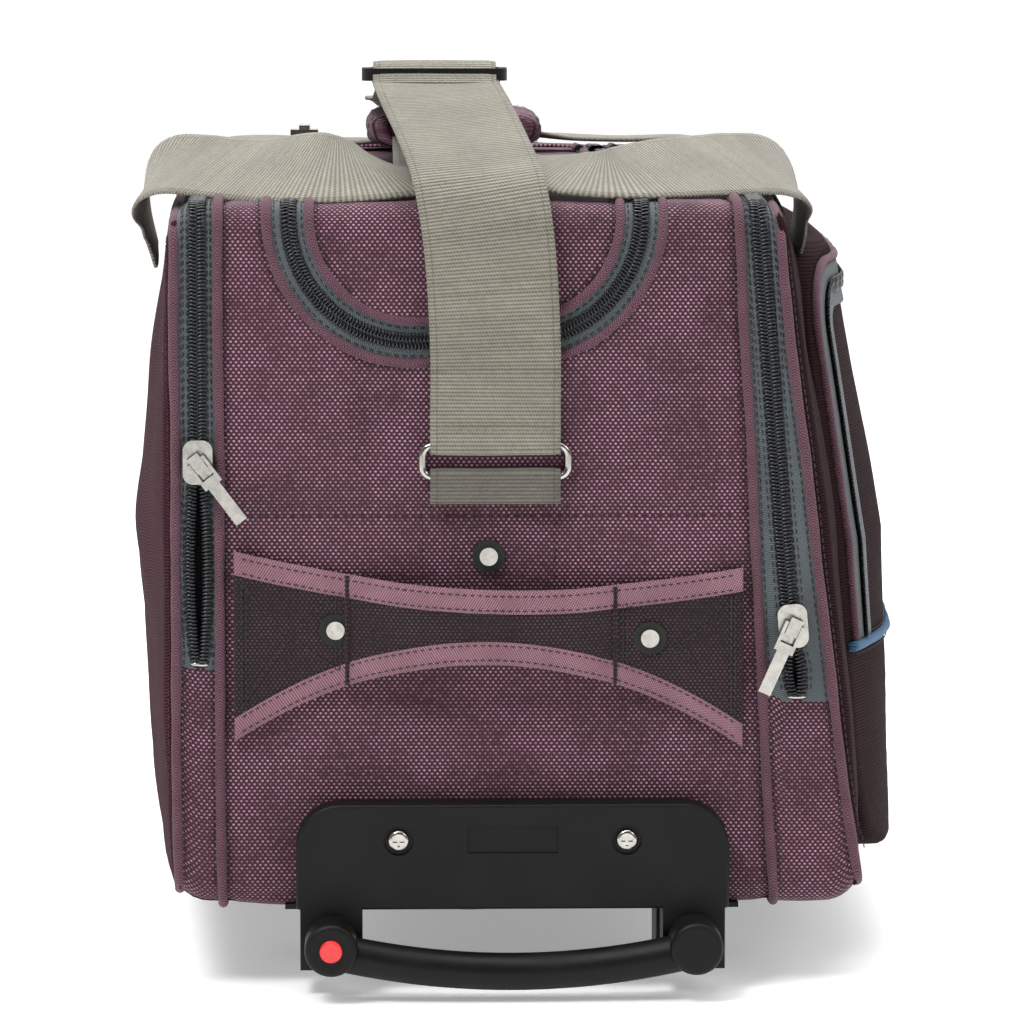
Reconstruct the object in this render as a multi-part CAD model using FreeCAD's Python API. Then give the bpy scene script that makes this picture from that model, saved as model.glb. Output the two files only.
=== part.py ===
import FreeCAD, Part
import math
import os

# Wheeled duffel bag, lying on its base. Millimetres, +Z up. The handle end faces -Y.
# x = 0 while modelling is the middle of the telescoping handle; at the end everything
# is moved sideways so that the origin is at the middle of the footprint, on the floor.

Vector = FreeCAD.Vector

# ---------------------------------------------------------------- driving dimensions
bag_length = 500.0          # end panel to end panel
bag_floor = 33.0            # underside of the bag above the ground
bag_top = 304.0             # top of the end panels
end_left = -131.0           # left edge of an end panel
end_right_low = 136.0       # right edge of an end panel at the base
end_right_high = 104.5      # right edge of an end panel at the top
side_bulge = 19.0           # how far the sides swell at mid length
top_crown = 4.0             # how far the top swells at mid length
side_fullness = 2.5         # swell of the end panels' side edges
edge_radius = 14.0          # rounding of the bag's long edges
wall = 3.0                  # padded fabric
piping_width = 4.0
piping_rise = 2.2
gusset_left = 16.0          # width of the left zip band
seam_inset = 2.5            # outer piping seam from the panel's edge
gusset_right_low = 32.0     # width of the right zip band at the base
gusset_right_high = 15.0    # and at the top

coil_width = 7.0
coil_gap = 0.4
coil_rise = 1.0
left_zip_bottom = 128.0
right_zip_bottom = 119.0
zip_far_end = 200.0         # the gusset zips run over the top as far as this

lid_left = -94.0            # U-shaped zip of the main compartment
lid_right = 58.0
lid_drop = 60.5             # how far the U comes down the near end panel
lid_corner = 56.0
lid_hinge_y = 205.0
lid_gap = 0.4
lid_tape = 5.0
lid_zip_width = 16.5

webbing_width = 50.0
webbing = 2.0
strap_x = -6.5
wrap_x = -19.0
wrap_half = 55.0
wrap_rise = 12.2            # of the handle wrap above the top edge
ring_wire = 3.0
ring_height = 12.0
buckle_y = -150.0
ring_level = 173.0          # ring centres above the bag's underside, as drawn
anchor_length = 16.0

housing_half = 83.5
housing_height = 41.0
housing_depth = 12.0
housing_corner = 17.0
housing_screw_x = 44.0
housing_screw_rise = 27.0
screw_hole = 4.2
screw_shank = 4.0
screw_head = 8.2

tube_x = 70.0
outer_tube_bore = 16.0
tube_wall = 1.0
tube_air = 1.2              # between the tubes and the base tray
running_clearance = 0.05
outer_tube_length = 370.0
mid_tube_length = 367.0
inner_rod_length = 357.0
handle_travel = 270.0       # of each of the two stages
lug_depth = 22.0
lug_width = 24.0

cap_rim = 1.2               # grip caps stand this far outside the outer tubes
cap_length = 20.7
bow_radius = 7.2
bow_drop = 10.0
button_radius = 4.35
button_travel = 3.0
button_length = 8.0

foot_width = 22.0
foot_length = 35.0
foot_y = -197.0

wheel_radius = 30.0
wheel_width = 24.0
wheel_x = 112.0
wheel_overhang = 6.0        # how far the wheels stand out behind the far end panel
wheel_house_width = 40.0
wheel_house_wall = 2.5
hub_radius = 23.0
bearing_radius = 11.0
bearing_width = 7.0
axle_radius = 4.0

grab_x = -9.0
grab_half = 98.0
grab_rise = 11.0            # finger room behind the grab handle
grab_thickness = 3.5

pocket_depth = 18.0
pocket_half_length = 215.0
pocket_low = 40.0
pocket_drop = 19.0          # of the pocket below the top edge
pocket_zip_low = 130.0

board = 2.5
tray_half = 88.0
tray_thickness = 1.8

# ---------------------------------------------------------------- derived places
drawn_height = 271.0        # of the end panels that the levels below were drawn on


def level(height):
    """Height above the ground of a level drawn on the near end panel."""
    return bag_floor + height * (bag_top - bag_floor) / drawn_height


near_y = -bag_length / 2
far_y = bag_length / 2
far_reach = 600.0
housing_front = near_y - housing_depth
mid_z = (bag_floor + bag_top) / 2
lid_bottom = bag_top - lid_drop
pocket_high = bag_top - pocket_drop
lid_zip_x = lid_left + lid_tape + coil_width / 2
ring_z = level(ring_level)
anchor_bottom = ring_z - anchor_length
tray_bottom = bag_floor - tray_thickness
outer_tube_radius = outer_tube_bore / 2 + tube_wall
tube_z = tray_bottom - tube_air - outer_tube_radius
cap_radius = outer_tube_radius + cap_rim
wheel_y = far_y + wheel_overhang - wheel_radius
left_outer_seam = end_left + seam_inset
left_inner_seam = left_outer_seam + gusset_left
left_zip_x = (left_outer_seam + left_inner_seam) / 2


def seam_line(x_low, x_high):
    """A seam that leans from x_low at the base to x_high at the top."""
    slope = (x_high - x_low) / (bag_top - bag_floor)

    def x_at(z):
        return x_low + slope * (z - bag_floor)

    return x_at


def moved(line, distance):
    """The same seam line, moved sideways."""
    return lambda z: line(z) + distance


left_outer = seam_line(left_outer_seam, left_outer_seam)
left_inner = seam_line(left_inner_seam, left_inner_seam)
right_outer = seam_line(end_right_low - seam_inset, end_right_high - seam_inset)
right_inner = seam_line(
    end_right_low - seam_inset - gusset_right_low,
    end_right_high - seam_inset - gusset_right_high,
)
left_zip = seam_line(left_zip_x, left_zip_x)
right_zip = seam_line(
    (right_outer(bag_floor) + right_inner(bag_floor)) / 2,
    (right_outer(bag_top) + right_inner(bag_top)) / 2,
)


# ---------------------------------------------------------------- helpers
def box(x0, x1, y0, y1, z0, z1):
    return Part.makeBox(x1 - x0, y1 - y0, z1 - z0, Vector(x0, y0, z0))


def cylinder_y(x, z, y0, y1, radius):
    return Part.makeCylinder(radius, y1 - y0, Vector(x, y0, z), Vector(0, 1, 0))


def cylinder_x(y, z, x0, x1, radius):
    return Part.makeCylinder(radius, x1 - x0, Vector(x0, y, z), Vector(1, 0, 0))


def rounded_wire(points, radii, y):
    """A closed XZ outline at height y, each corner rounded by its own radius."""
    edges = []
    count = len(points)
    starts = []
    ends = []
    arcs = []
    for i in range(count):
        corner = Vector(points[i][0], y, points[i][1])
        before = Vector(points[i - 1][0], y, points[i - 1][1])
        after = Vector(points[(i + 1) % count][0], y, points[(i + 1) % count][1])
        back = (before - corner).normalize()
        ahead = (after - corner).normalize()
        half = back.getAngle(ahead) / 2
        setback = radii[i] / math.tan(half)
        middle = (back + ahead).normalize()
        start = corner + back * setback
        end = corner + ahead * setback
        top = corner + middle * (radii[i] / math.sin(half) - radii[i])
        starts.append(start)
        ends.append(end)
        arcs.append(Part.Arc(start, top, end).toShape())
    for i in range(count):
        edges.append(arcs[i])
        edges.append(Part.makeLine(ends[i], starts[(i + 1) % count]))
    return Part.Wire(edges)


def offset_polygon(points, distance):
    """Counter-clockwise polygon grown outwards by distance."""
    count = len(points)
    lines = []
    for i in range(count):
        ax, az = points[i]
        bx, bz = points[(i + 1) % count]
        length = math.hypot(bx - ax, bz - az)
        nx = (bz - az) / length
        nz = -(bx - ax) / length
        lines.append((ax + nx * distance, az + nz * distance, bx - ax, bz - az))
    grown = []
    for i in range(count):
        ax, az, adx, adz = lines[i - 1]
        bx, bz, bdx, bdz = lines[i]
        cross = adx * bdz - adz * bdx
        share = ((bx - ax) * bdz - (bz - az) * bdx) / cross
        grown.append((ax + adx * share, az + adz * share))
    return grown


def section(bulge, crown, y, distance):
    right_mid = (end_right_low + end_right_high) / 2 + side_fullness + bulge
    points = [
        (end_left - bulge * 0.6, bag_floor),
        (end_right_low + bulge * 0.3, bag_floor),
        (right_mid, mid_z),
        (end_right_high + bulge * 0.4, bag_top + crown),
        (end_left - bulge * 0.15, bag_top + crown),
        (end_left - side_fullness - bulge, mid_z),
    ]
    radii = [edge_radius + distance, edge_radius + distance, 60.0,
             edge_radius + distance, edge_radius + distance, 60.0]
    return rounded_wire(offset_polygon(points, distance), radii, y)


def bag_form(distance):
    """The bag's outer form, grown outwards by distance (inwards if negative)."""
    wires = [
        section(0.0, 0.0, near_y - distance, distance),
        section(side_bulge, top_crown, 0.0, distance),
        section(0.0, 0.0, far_y + distance, distance),
    ]
    return Part.makeLoft(wires, True, False)


def between(left, right, z0=-far_reach, z1=far_reach, y0=-far_reach, y1=far_reach):
    """A prism between two leaning seam lines."""
    corners = [(left(z0), z0), (right(z0), z0), (right(z1), z1), (left(z1), z1)]
    wire = Part.makePolygon([Vector(x, y0, z) for x, z in corners + corners[:1]])
    return Part.Face(wire).extrude(Vector(0, y1 - y0, 0))


def lid_prism(inset, y1):
    """The U shape of the lid, set in by inset, from beyond the near end to y1."""
    left = lid_left + inset
    right = lid_right - inset
    low = lid_bottom + inset
    high = far_reach
    round_off = lid_corner - inset
    points = [(left, low), (right, low), (right, high), (left, high)]
    wire = rounded_wire(points, [round_off, round_off, 1.0, 1.0], -far_reach)
    return Part.Face(wire).extrude(Vector(0, y1 + far_reach, 0))


def ribbon(stations, width, thickness):
    """A flat strap through (centre, width direction) stations, as one closed solid."""
    rings = []
    for i, (centre, across) in enumerate(stations):
        before = stations[max(i - 1, 0)][0]
        after = stations[min(i + 1, len(stations) - 1)][0]
        along = (after - before).normalize()
        side = across - along * across.dot(along)
        side.normalize()
        normal = along.cross(side)
        side = side * (width / 2)
        normal = normal * (thickness / 2)
        rings.append([centre + side + normal, centre - side + normal,
                      centre - side - normal, centre + side - normal])
    faces = []

    def triangle(a, b, c):
        faces.append(Part.Face(Part.makePolygon([a, b, c, a])))

    for first, second in zip(rings, rings[1:]):
        for k in range(4):
            m = (k + 1) % 4
            triangle(first[k], first[m], second[m])
            triangle(first[k], second[m], second[k])
    for ring in (rings[0], rings[-1]):
        triangle(ring[0], ring[1], ring[2])
        triangle(ring[0], ring[2], ring[3])
    solid = Part.Solid(Part.makeShell(faces))
    if solid.Volume < 0:
        solid.reverse()
    return solid


def smooth_route(points, steps):
    """Stations evenly spaced on a smooth curve through hand-placed (point, across) pairs."""
    curve = Part.BSplineCurve()
    curve.interpolate([Vector(*p) for p, _ in points])
    knots = curve.getKnots()
    across = [Vector(*a) for _, a in points]
    stations = []
    for i in range(steps + 1):
        at = curve.FirstParameter + (curve.LastParameter - curve.FirstParameter) * i / steps
        k = 0
        while k < len(knots) - 2 and at > knots[k + 1]:
            k += 1
        share = (at - knots[k]) / (knots[k + 1] - knots[k])
        stations.append((curve.value(at), across[k] * (1 - share) + across[k + 1] * share))
    return stations


nodes = {}

# ---------------------------------------------------------------- bag forms
outer = bag_form(0.0)
inner = bag_form(-wall)
proud = bag_form(piping_rise)
raised = bag_form(coil_rise)
shell = outer.cut(inner)
piping_skin = proud.cut(outer)
coil_skin = raised.cut(inner)

wheel_house_x0 = wheel_x - wheel_house_width / 2
wheel_house_x1 = wheel_x + wheel_house_width / 2
wheel_house_y0 = wheel_y - wheel_radius - 7.0
wheel_house_top = 2 * wheel_radius + 16.0
notches = []
for side in (-1, 1):
    x0, x1 = sorted((side * (wheel_house_x0 - 3.0), side * (wheel_house_x1 + 60.0)))
    notches.append(box(x0, x1, wheel_house_y0, far_reach, -10.0, wheel_house_top))


def notched(shape):
    """Leaves room for the wheel housings at the far lower corners."""
    return shape.cut(Part.makeCompound(notches))


# ---------------------------------------------------------------- main panels
def make_panels():
    middle = shell.common(between(left_inner, right_inner))
    middle = notched(middle.cut(lid_prism(0.0, lid_hinge_y)))
    screw_holes = [
        cylinder_y(side * housing_screw_x, bag_floor + housing_screw_rise,
                   near_y - 1, near_y + wall + 1, screw_hole / 2)
        for side in (-1, 1)
    ]
    near_slice = box(-300, 300, -far_reach, near_y + wall, -10, far_reach)
    far_slice = box(-300, 300, far_y - wall, far_reach, -10, far_reach)
    ring = middle.cut(near_slice).cut(far_slice)
    nodes["end_panel_near"] = middle.common(near_slice).cut(Part.makeCompound(screw_holes))
    nodes["end_panel_far"] = middle.common(far_slice)
    nodes["base_panel"] = ring.common(box(-300, 300, -far_reach, far_reach, -10, mid_z))
    nodes["top_panel"] = ring.common(box(-300, 300, -far_reach, far_reach, mid_z, far_reach))
    nodes["side_panel_left"] = notched(shell.common(between(lambda z: -300.0, left_outer)))
    nodes["side_panel_right"] = notched(shell.common(between(right_outer, lambda z: 300.0)))


def make_gusset(side, first, second, zip_line, zip_bottom):
    band = notched(shell.common(between(first, second)))
    zipped = box(-300, 300, -far_reach, zip_far_end, zip_bottom, far_reach)
    half = coil_width / 2
    slot = between(moved(zip_line, -half), moved(zip_line, half),
                   zip_bottom, far_reach, -far_reach, zip_far_end)
    nodes["gusset_" + side] = band.cut(zipped)
    nodes["zip_tape_" + side] = band.common(zipped).cut(slot)
    coils = []
    for low, high in ((-half, -coil_gap / 2), (coil_gap / 2, half)):
        strip = between(moved(zip_line, low), moved(zip_line, high),
                        zip_bottom, far_reach, -far_reach, zip_far_end)
        coils.append(coil_skin.common(strip))
    nodes["zip_coils_" + side] = Part.makeCompound(coils)
    half = piping_width / 2
    pipings = []
    for line in (first, second):
        strip = between(moved(line, -half), moved(line, half))
        pipings.append(notched(piping_skin.common(strip)))
    nodes["piping_" + side] = Part.makeCompound(pipings)


# ---------------------------------------------------------------- lid and its zip
def make_lid():
    half = piping_width / 2
    middle = between(left_inner, right_inner)
    lid_end = lid_hinge_y - lid_gap
    coil_half = (coil_width - coil_gap) / 2

    def band(skin, start, stop, y1):
        ring = lid_prism(start, y1).cut(lid_prism(stop, y1 + 1))
        return skin.common(ring).common(middle)

    coil_mid = lid_tape + coil_half
    nodes["lid_piping_body"] = band(piping_skin, -half, half, lid_hinge_y)
    nodes["lid_zip_tape_body"] = band(shell, 0.0, lid_tape, lid_hinge_y)
    nodes["lid_zip_coil_body"] = band(coil_skin, lid_tape, coil_mid, lid_hinge_y)
    start = coil_mid + coil_gap
    nodes["lid_zip_coil_lid"] = band(coil_skin, start, start + coil_half, lid_end)
    nodes["lid_zip_tape_lid"] = band(shell, start + coil_half, lid_zip_width, lid_end)
    nodes["lid_panel"] = shell.common(lid_prism(lid_zip_width, lid_end))
    nodes["lid_piping_lid"] = band(piping_skin, lid_zip_width - half, lid_zip_width + half,
                                   lid_end)


# ---------------------------------------------------------------- zip sliders and pulls
slider_length = 17.0
slider_width = 11.4
slider_thickness = 4.2
slider_clearance = 0.4
puller_boss = 2.4
puller_arm = 1.2
tab_length = 28.0
tab_width = 5.0
tab_thickness = 1.8
pin_radius = 1.2
slider_back = near_y - coil_rise - slider_clearance
slider_face = slider_back - slider_thickness
hinge_out = slider_face - 2.2
left_slider_z = 206.0
right_slider_z = 142.0
left_tab_turn = 37.0
right_tab_turn = -24.0


def make_slider(side, zip_line, z, tab_turn, lean):
    """Slider body with a boss on its face, and the pull tab hung on a pin in the boss."""
    half = slider_width / 2
    body = Part.makeBox(slider_width, slider_thickness, slider_length,
                        Vector(-half, slider_face, -slider_length / 2))
    upright = [e for e in body.Edges if abs(e.BoundBox.YLength - slider_thickness) < 0.01]
    body = body.makeFillet(4.0, upright)
    body.rotate(Vector(0, 0, 0), Vector(0, 1, 0), lean)
    boss = Part.makeBox(2 * puller_boss, 4.6, 7.0, Vector(-puller_boss, slider_face - 4.6, -3.5))
    hole = cylinder_x(hinge_out, 0.0, -10, 10, pin_radius + running_clearance)
    boss = boss.cut(hole)
    arm_x = puller_boss + 0.3
    pin = cylinder_x(hinge_out, 0.0, -arm_x, arm_x, pin_radius)
    arms = []
    for x0 in (-arm_x - puller_arm, arm_x):
        arm = box(x0, x0 + puller_arm, hinge_out - tab_thickness, hinge_out + 1.3, -9.0, 1.4)
        arms.append(arm)
    bridge = box(-arm_x - puller_arm, arm_x + puller_arm, hinge_out - tab_thickness,
                 hinge_out + 0.4, -10.5, -7.0)
    tab = box(-tab_width / 2, tab_width / 2, hinge_out - tab_thickness, hinge_out + 0.4,
              -tab_length, -8.0)
    tab = pin.fuse(arms + [bridge, tab]).removeSplitter()
    for shape in (boss, tab):
        shape.rotate(Vector(0, 0, 0), Vector(0, 1, 0), tab_turn)
    slider = body.fuse(boss)
    for shape in (slider, tab):
        shape.translate(Vector(zip_line(z), 0, z))
    nodes["zip_slider_" + side] = slider
    nodes["pull_tab_" + side] = tab


# ---------------------------------------------------------------- side pocket
def make_pocket():
    full = bag_form(pocket_depth)
    outer_zone = between(moved(right_outer, 6.0), lambda z: 400.0, pocket_low, pocket_high,
                         -pocket_half_length, pocket_half_length)
    nodes["side_pocket"] = full.cut(outer).common(outer_zone)
    tape_skin = bag_form(pocket_depth + 1.0).cut(full)
    edge = 8.0
    tape = 17.0
    face = box(120, 400, -pocket_half_length + edge, pocket_half_length - edge,
               pocket_zip_low, pocket_high - edge)
    hole = box(120, 400, -pocket_half_length + edge + tape, pocket_half_length - edge - tape,
               pocket_zip_low - 1, pocket_high - edge - tape)
    nodes["pocket_zip_tape"] = tape_skin.common(face).cut(hole)
    rib_skin = bag_form(pocket_depth + 2.5).cut(full)
    rib = box(120, 400, -pocket_half_length, pocket_half_length,
              pocket_zip_low - piping_width - 0.2, pocket_zip_low - 0.2)
    nodes["pocket_piping"] = rib_skin.common(rib)


# ---------------------------------------------------------------- stiffeners and base


def make_boards():
    inside = 0.3
    floor_z = bag_floor + wall + inside
    base = box(-98, 84, near_y + 12, wheel_house_y0 - 6, floor_z, floor_z + board)
    boards = [base]
    for y0 in (near_y + wall + inside, far_y - wall - inside - board):
        plate = box(-84, 84, y0, y0 + board, floor_z + board + inside, lid_bottom - 12)
        for side in (-1, 1):
            plate = plate.cut(cylinder_y(side * housing_screw_x,
                                         bag_floor + housing_screw_rise,
                                         y0 - 1, y0 + board + 1, screw_hole / 2))
        boards.append(plate)
    nodes["stiffener_boards"] = Part.makeCompound(boards)
    nodes["base_tray"] = box(-tray_half, tray_half, near_y, wheel_house_y0 - 6,
                             tray_bottom, bag_floor)


# ---------------------------------------------------------------- telescoping handle
mid_tube_radius = outer_tube_bore / 2 - running_clearance
mid_tube_bore = mid_tube_radius - tube_wall
inner_rod_radius = mid_tube_bore - running_clearance
inner_rod_bore = inner_rod_radius - tube_wall
tube_start = housing_front + lug_depth
cap_gap = 0.3
cap_back = housing_front - cap_gap
cap_front = cap_back - cap_length


def tube(x, y0, y1, radius, bore):
    return cylinder_y(x, tube_z, y0, y1, radius).cut(
        cylinder_y(x, tube_z, y0 - 1, y1 + 1, bore))


def make_housing():
    top = bag_floor + housing_height
    outline = [(-housing_half, bag_floor), (housing_half, bag_floor),
               (housing_half, top), (-housing_half, top)]
    wire = rounded_wire(outline, [1.5, 1.5, housing_corner, housing_corner], housing_front)
    plate = Part.Face(wire).extrude(Vector(0, housing_depth, 0))
    front_edges = [e for e in plate.Edges if e.BoundBox.YMax < housing_front + 0.01]
    plate = plate.makeFillet(1.2, front_edges)
    screws = []
    screw_z = bag_floor + housing_screw_rise
    lug_low = tube_z - outer_tube_radius - 2.5
    for side in (-1, 1):
        x = side * tube_x
        lug = box(x - lug_width / 2, x + lug_width / 2, housing_front, tube_start,
                  lug_low, tray_bottom)
        front = box(x - lug_width / 2, x + lug_width / 2, housing_front, near_y,
                    tray_bottom, bag_floor + 4)
        plate = plate.fuse([lug, front])
        plate = plate.cut(cylinder_y(x, tube_z, housing_front - 1, tube_start + 1,
                                     outer_tube_bore / 2))
        screw_x = side * housing_screw_x
        plate = plate.cut(cylinder_y(screw_x, screw_z, housing_front - 1,
                                     housing_front + 1.5, screw_head / 2 + 1.7))
        plate = plate.cut(cylinder_y(screw_x, screw_z, housing_front, near_y + 1,
                                     screw_hole / 2))
        seat = housing_front + 1.5
        head = cylinder_y(screw_x, screw_z, seat - 2.4, seat, screw_head / 2)
        rim = [e for e in head.Edges if e.BoundBox.YMax < seat - 2.3]
        head = head.makeFillet(1.4, rim)
        shank = cylinder_y(screw_x, screw_z, seat, near_y + wall + board + 6, screw_shank / 2)
        screw = head.fuse(shank)
        for dx, dz in ((2.3, 0.55), (0.55, 2.3)):
            screw = screw.cut(box(screw_x - dx, screw_x + dx, seat - 3, seat - 1.2,
                                  screw_z - dz, screw_z + dz))
        screws.append(screw)
    plate = plate.cut(box(-17.5, 17.5, housing_front - 1, housing_front + 0.8,
                          bag_floor + 22, bag_floor + 32.5))
    nodes["handle_housing"] = plate.removeSplitter()
    nodes["housing_screws"] = Part.makeCompound(screws)


def make_tubes():
    outers, mids, rods, plugs = [], [], [], []
    for side in (-1, 1):
        x = side * tube_x
        outers.append(tube(x, tube_start, tube_start + outer_tube_length,
                           outer_tube_radius, outer_tube_bore / 2))
        mids.append(tube(x, housing_front, housing_front + mid_tube_length,
                         mid_tube_radius, mid_tube_bore))
        rod_end = housing_front + inner_rod_length
        rods.append(tube(x, cap_back, rod_end, inner_rod_radius, inner_rod_bore))
        spigot = cylinder_y(x, tube_z, rod_end - 10, rod_end, inner_rod_bore)
        head = cylinder_y(x, tube_z, rod_end, rod_end + 6, mid_tube_bore - running_clearance)
        plugs.append(spigot.fuse(head).removeSplitter())
    nodes["outer_tubes"] = Part.makeCompound(outers)
    nodes["mid_tubes"] = Part.makeCompound(mids)
    nodes["inner_rods"] = Part.makeCompound(rods)
    nodes["rod_end_plugs"] = Part.makeCompound(plugs)


spring_length = 5.0
push_rod_radius = 1.5
spring_wire_out = 3.6
spring_wire_in = 2.2


def make_grip():
    bow_y = (cap_front + cap_back) / 2 - 0.5
    bow_end = Vector(tube_x - 6, bow_y, tube_z - 3)
    bow_start = Vector(-tube_x + 6, bow_y, tube_z - 3)
    bow_low = Vector(0, bow_y, tube_z - bow_drop)
    arc = Part.Arc(bow_start, bow_low, bow_end)
    circle = Part.Circle(bow_start, arc.tangent(arc.FirstParameter)[0], bow_radius)
    bow = Part.Wire([arc.toShape()]).makePipe(Part.Face(Part.Wire([circle.toShape()])))
    pieces = []
    for side in (-1, 1):
        x = side * tube_x
        cap = cylinder_y(x, tube_z, cap_front, cap_back, cap_radius)
        rim = [e for e in cap.Edges if e.BoundBox.YMax < cap_front + 0.01]
        cap = cap.makeFillet(2.0, rim)
        spigot = cylinder_y(x, tube_z, cap_back, cap_back + 12, inner_rod_bore)
        pieces.extend([cap, spigot])
    grip = bow.fuse(pieces)
    x = -tube_x
    pocket_end = cap_front + button_length - 1.5 + spring_length
    grip = grip.cut(cylinder_y(x, tube_z, cap_front - 1, pocket_end, button_radius + 0.1))
    grip = grip.cut(cylinder_y(x, tube_z, pocket_end - 1, cap_back + 20,
                               push_rod_radius + 0.3))
    nodes["grip_bar"] = grip.removeSplitter()
    button_back = cap_front + button_length - 1.5
    button = cylinder_y(x, tube_z, cap_front - 1.5, button_back, button_radius)
    rim = [e for e in button.Edges if e.BoundBox.YMax < cap_front - 1.4]
    nodes["release_button"] = button.makeFillet(0.8, rim)
    nodes["button_spring"] = cylinder_y(x, tube_z, button_back, pocket_end,
                                        spring_wire_out).cut(
        cylinder_y(x, tube_z, button_back - 1, pocket_end + 1, spring_wire_in))
    rod_stop = housing_front + inner_rod_length - 10 - button_travel - 2
    nodes["push_rod"] = cylinder_y(x, tube_z, button_back, rod_stop, push_rod_radius)


def make_saddles():
    blocks = []
    for side in (-1, 1):
        x = side * tube_x
        for y0, low in ((foot_y, 0.0), (tube_start + outer_tube_length - foot_length, 7.0)):
            block = box(x - foot_width / 2, x + foot_width / 2, y0, y0 + foot_length,
                        low, tray_bottom)
            block = block.cut(cylinder_y(x, tube_z, y0 - 1, y0 + foot_length + 1,
                                         outer_tube_radius))
            blocks.append(block)
    nodes["tube_saddles"] = Part.makeCompound(blocks)


# ---------------------------------------------------------------- wheels
def make_wheels():
    houses = []
    axles = []
    for side, name in ((-1, "left"), (1, "right")):
        x = side * wheel_x
        x0 = x - wheel_house_width / 2
        x1 = x + wheel_house_width / 2
        low = 16.0
        house = box(x0, x1, wheel_house_y0, far_y, low, wheel_house_top)
        cavity = box(x0 + wheel_house_wall, x1 - wheel_house_wall,
                     wheel_house_y0 + wheel_house_wall, far_y + 1,
                     low - 1, wheel_house_top - wheel_house_wall)
        axle_z = wheel_radius
        hole = cylinder_x(wheel_y, axle_z, x0 - 1, x1 + 1, axle_radius)
        houses.append(house.cut(cavity).cut(hole))
        heads = [cylinder_x(wheel_y, axle_z, x0 - 2.2, x0, 6.0),
                 cylinder_x(wheel_y, axle_z, x1, x1 + 2.2, 6.0)]
        axles.append(cylinder_x(wheel_y, axle_z, x0, x1, axle_radius).fuse(heads))
        half = wheel_width / 2
        tyre = cylinder_x(wheel_y, axle_z, x - half, x + half, wheel_radius)
        tyre = tyre.makeFillet(4.0, [e for e in tyre.Edges if e.Length > 100
                                     and e.BoundBox.XLength < 0.01])
        tyre = tyre.cut(cylinder_x(wheel_y, axle_z, x - half - 1, x + half + 1, hub_radius))
        hub_half = half - 1.0
        hub = cylinder_x(wheel_y, axle_z, x - hub_half, x + hub_half, hub_radius)
        hub = hub.cut(cylinder_x(wheel_y, axle_z, x - half, x + half, bearing_radius - 2))
        bearings = []
        for end in (-1, 1):
            b0, b1 = sorted((x + end * hub_half, x + end * (hub_half - bearing_width)))
            race = cylinder_x(wheel_y, axle_z, b0, b1, bearing_radius)
            hub = hub.cut(race)
            bearings.append(race.cut(cylinder_x(wheel_y, axle_z, b0 - 1, b1 + 1,
                                                axle_radius + running_clearance)))
            for k in range(6):
                angle = math.radians(60 * k + 30)
                dy = 17.0 * math.cos(angle)
                dz = 17.0 * math.sin(angle)
                p0, p1 = sorted((x + end * (hub_half + 1), x + end * (hub_half - 5)))
                hub = hub.cut(cylinder_x(wheel_y + dy, axle_z + dz, p0, p1, 3.6))
        nodes["tyre_" + name] = tyre
        nodes["hub_" + name] = hub
        nodes["wheel_bearings_" + name] = Part.makeCompound(bearings)
    nodes["wheel_housings"] = Part.makeCompound(houses)
    nodes["axles"] = Part.makeCompound(axles)


# ---------------------------------------------------------------- grab handle
washer_radius = 6.3
washer_thickness = 1.5
rivet_radius = 3.5
rivet_rise = 1.4
rivets = ((-68.0, level(108)), (53.0, level(104.5)))
snap_place = (-9.0, level(136))


def make_grab_handle():
    inside = []
    outside = []
    gap = 0.3
    flat = 52.0
    for x, rise in ((-grab_half, 0), (-0.75 * grab_half, 0), (-flat, 0.2), (-32, 0.82), (0, 1),
                    (32, 0.82), (flat, 0.2), (0.75 * grab_half, 0), (grab_half, 0)):
        y = near_y - gap - rise * grab_rise
        inside.append(Vector(grab_x + x, y, 0))
        outside.append(Vector(grab_x + x, y - grab_thickness, 0))
    inner_curve = Part.BSplineCurve()
    inner_curve.interpolate(inside)
    outer_curve = Part.BSplineCurve()
    outer_curve.interpolate(outside)
    rim = Part.Wire([inner_curve.toShape(), Part.makeLine(inside[-1], outside[-1]),
                     outer_curve.toShape(), Part.makeLine(outside[0], inside[0])])
    strap = Part.Face(rim).extrude(Vector(0, 0, far_reach))
    left = grab_x - grab_half
    right = grab_x + grab_half
    y = near_y - 40
    top_left = Vector(left, y, level(138))
    top_right = Vector(right, y, level(131))
    low_left = Vector(left, y, level(65))
    low_right = Vector(right, y, level(62))
    top = Part.Arc(top_left, Vector(grab_x, y, level(124)), top_right)
    low = Part.Arc(low_right, Vector(grab_x, y, level(96)), low_left)
    outline = Part.Wire([top.toShape(), Part.makeLine(top_right, low_right),
                         low.toShape(), Part.makeLine(low_left, top_left)])
    bow_tie = Part.Face(outline).extrude(Vector(0, 60, 0))
    places = [(x, z, near_y - gap - grab_thickness) for x, z in rivets]
    places.append((snap_place[0], snap_place[1], near_y))
    washers = []
    caps = []
    seats = []
    for x, z, y in places:
        seats.append(cylinder_y(x, z, y - 9, y + 0.3, washer_radius + 0.2))
        ring = cylinder_y(x, z, y - washer_thickness, y, washer_radius)
        washers.append(ring.cut(cylinder_y(x, z, y - 9, y + 1, rivet_radius)))
        cap = cylinder_y(x, z, y - washer_thickness - rivet_rise, y, rivet_radius)
        caps.append(cap)
    nodes["grab_handle"] = strap.common(bow_tie).cut(Part.makeCompound(seats[:2]))
    nodes["grab_washers"] = Part.makeCompound(washers)
    nodes["grab_rivets"] = Part.makeCompound(caps)


# ---------------------------------------------------------------- shoulder strap
ring_y = 4.0                # ring's wire from the end panel
ring_half = webbing_width / 2 + ring_wire


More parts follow.
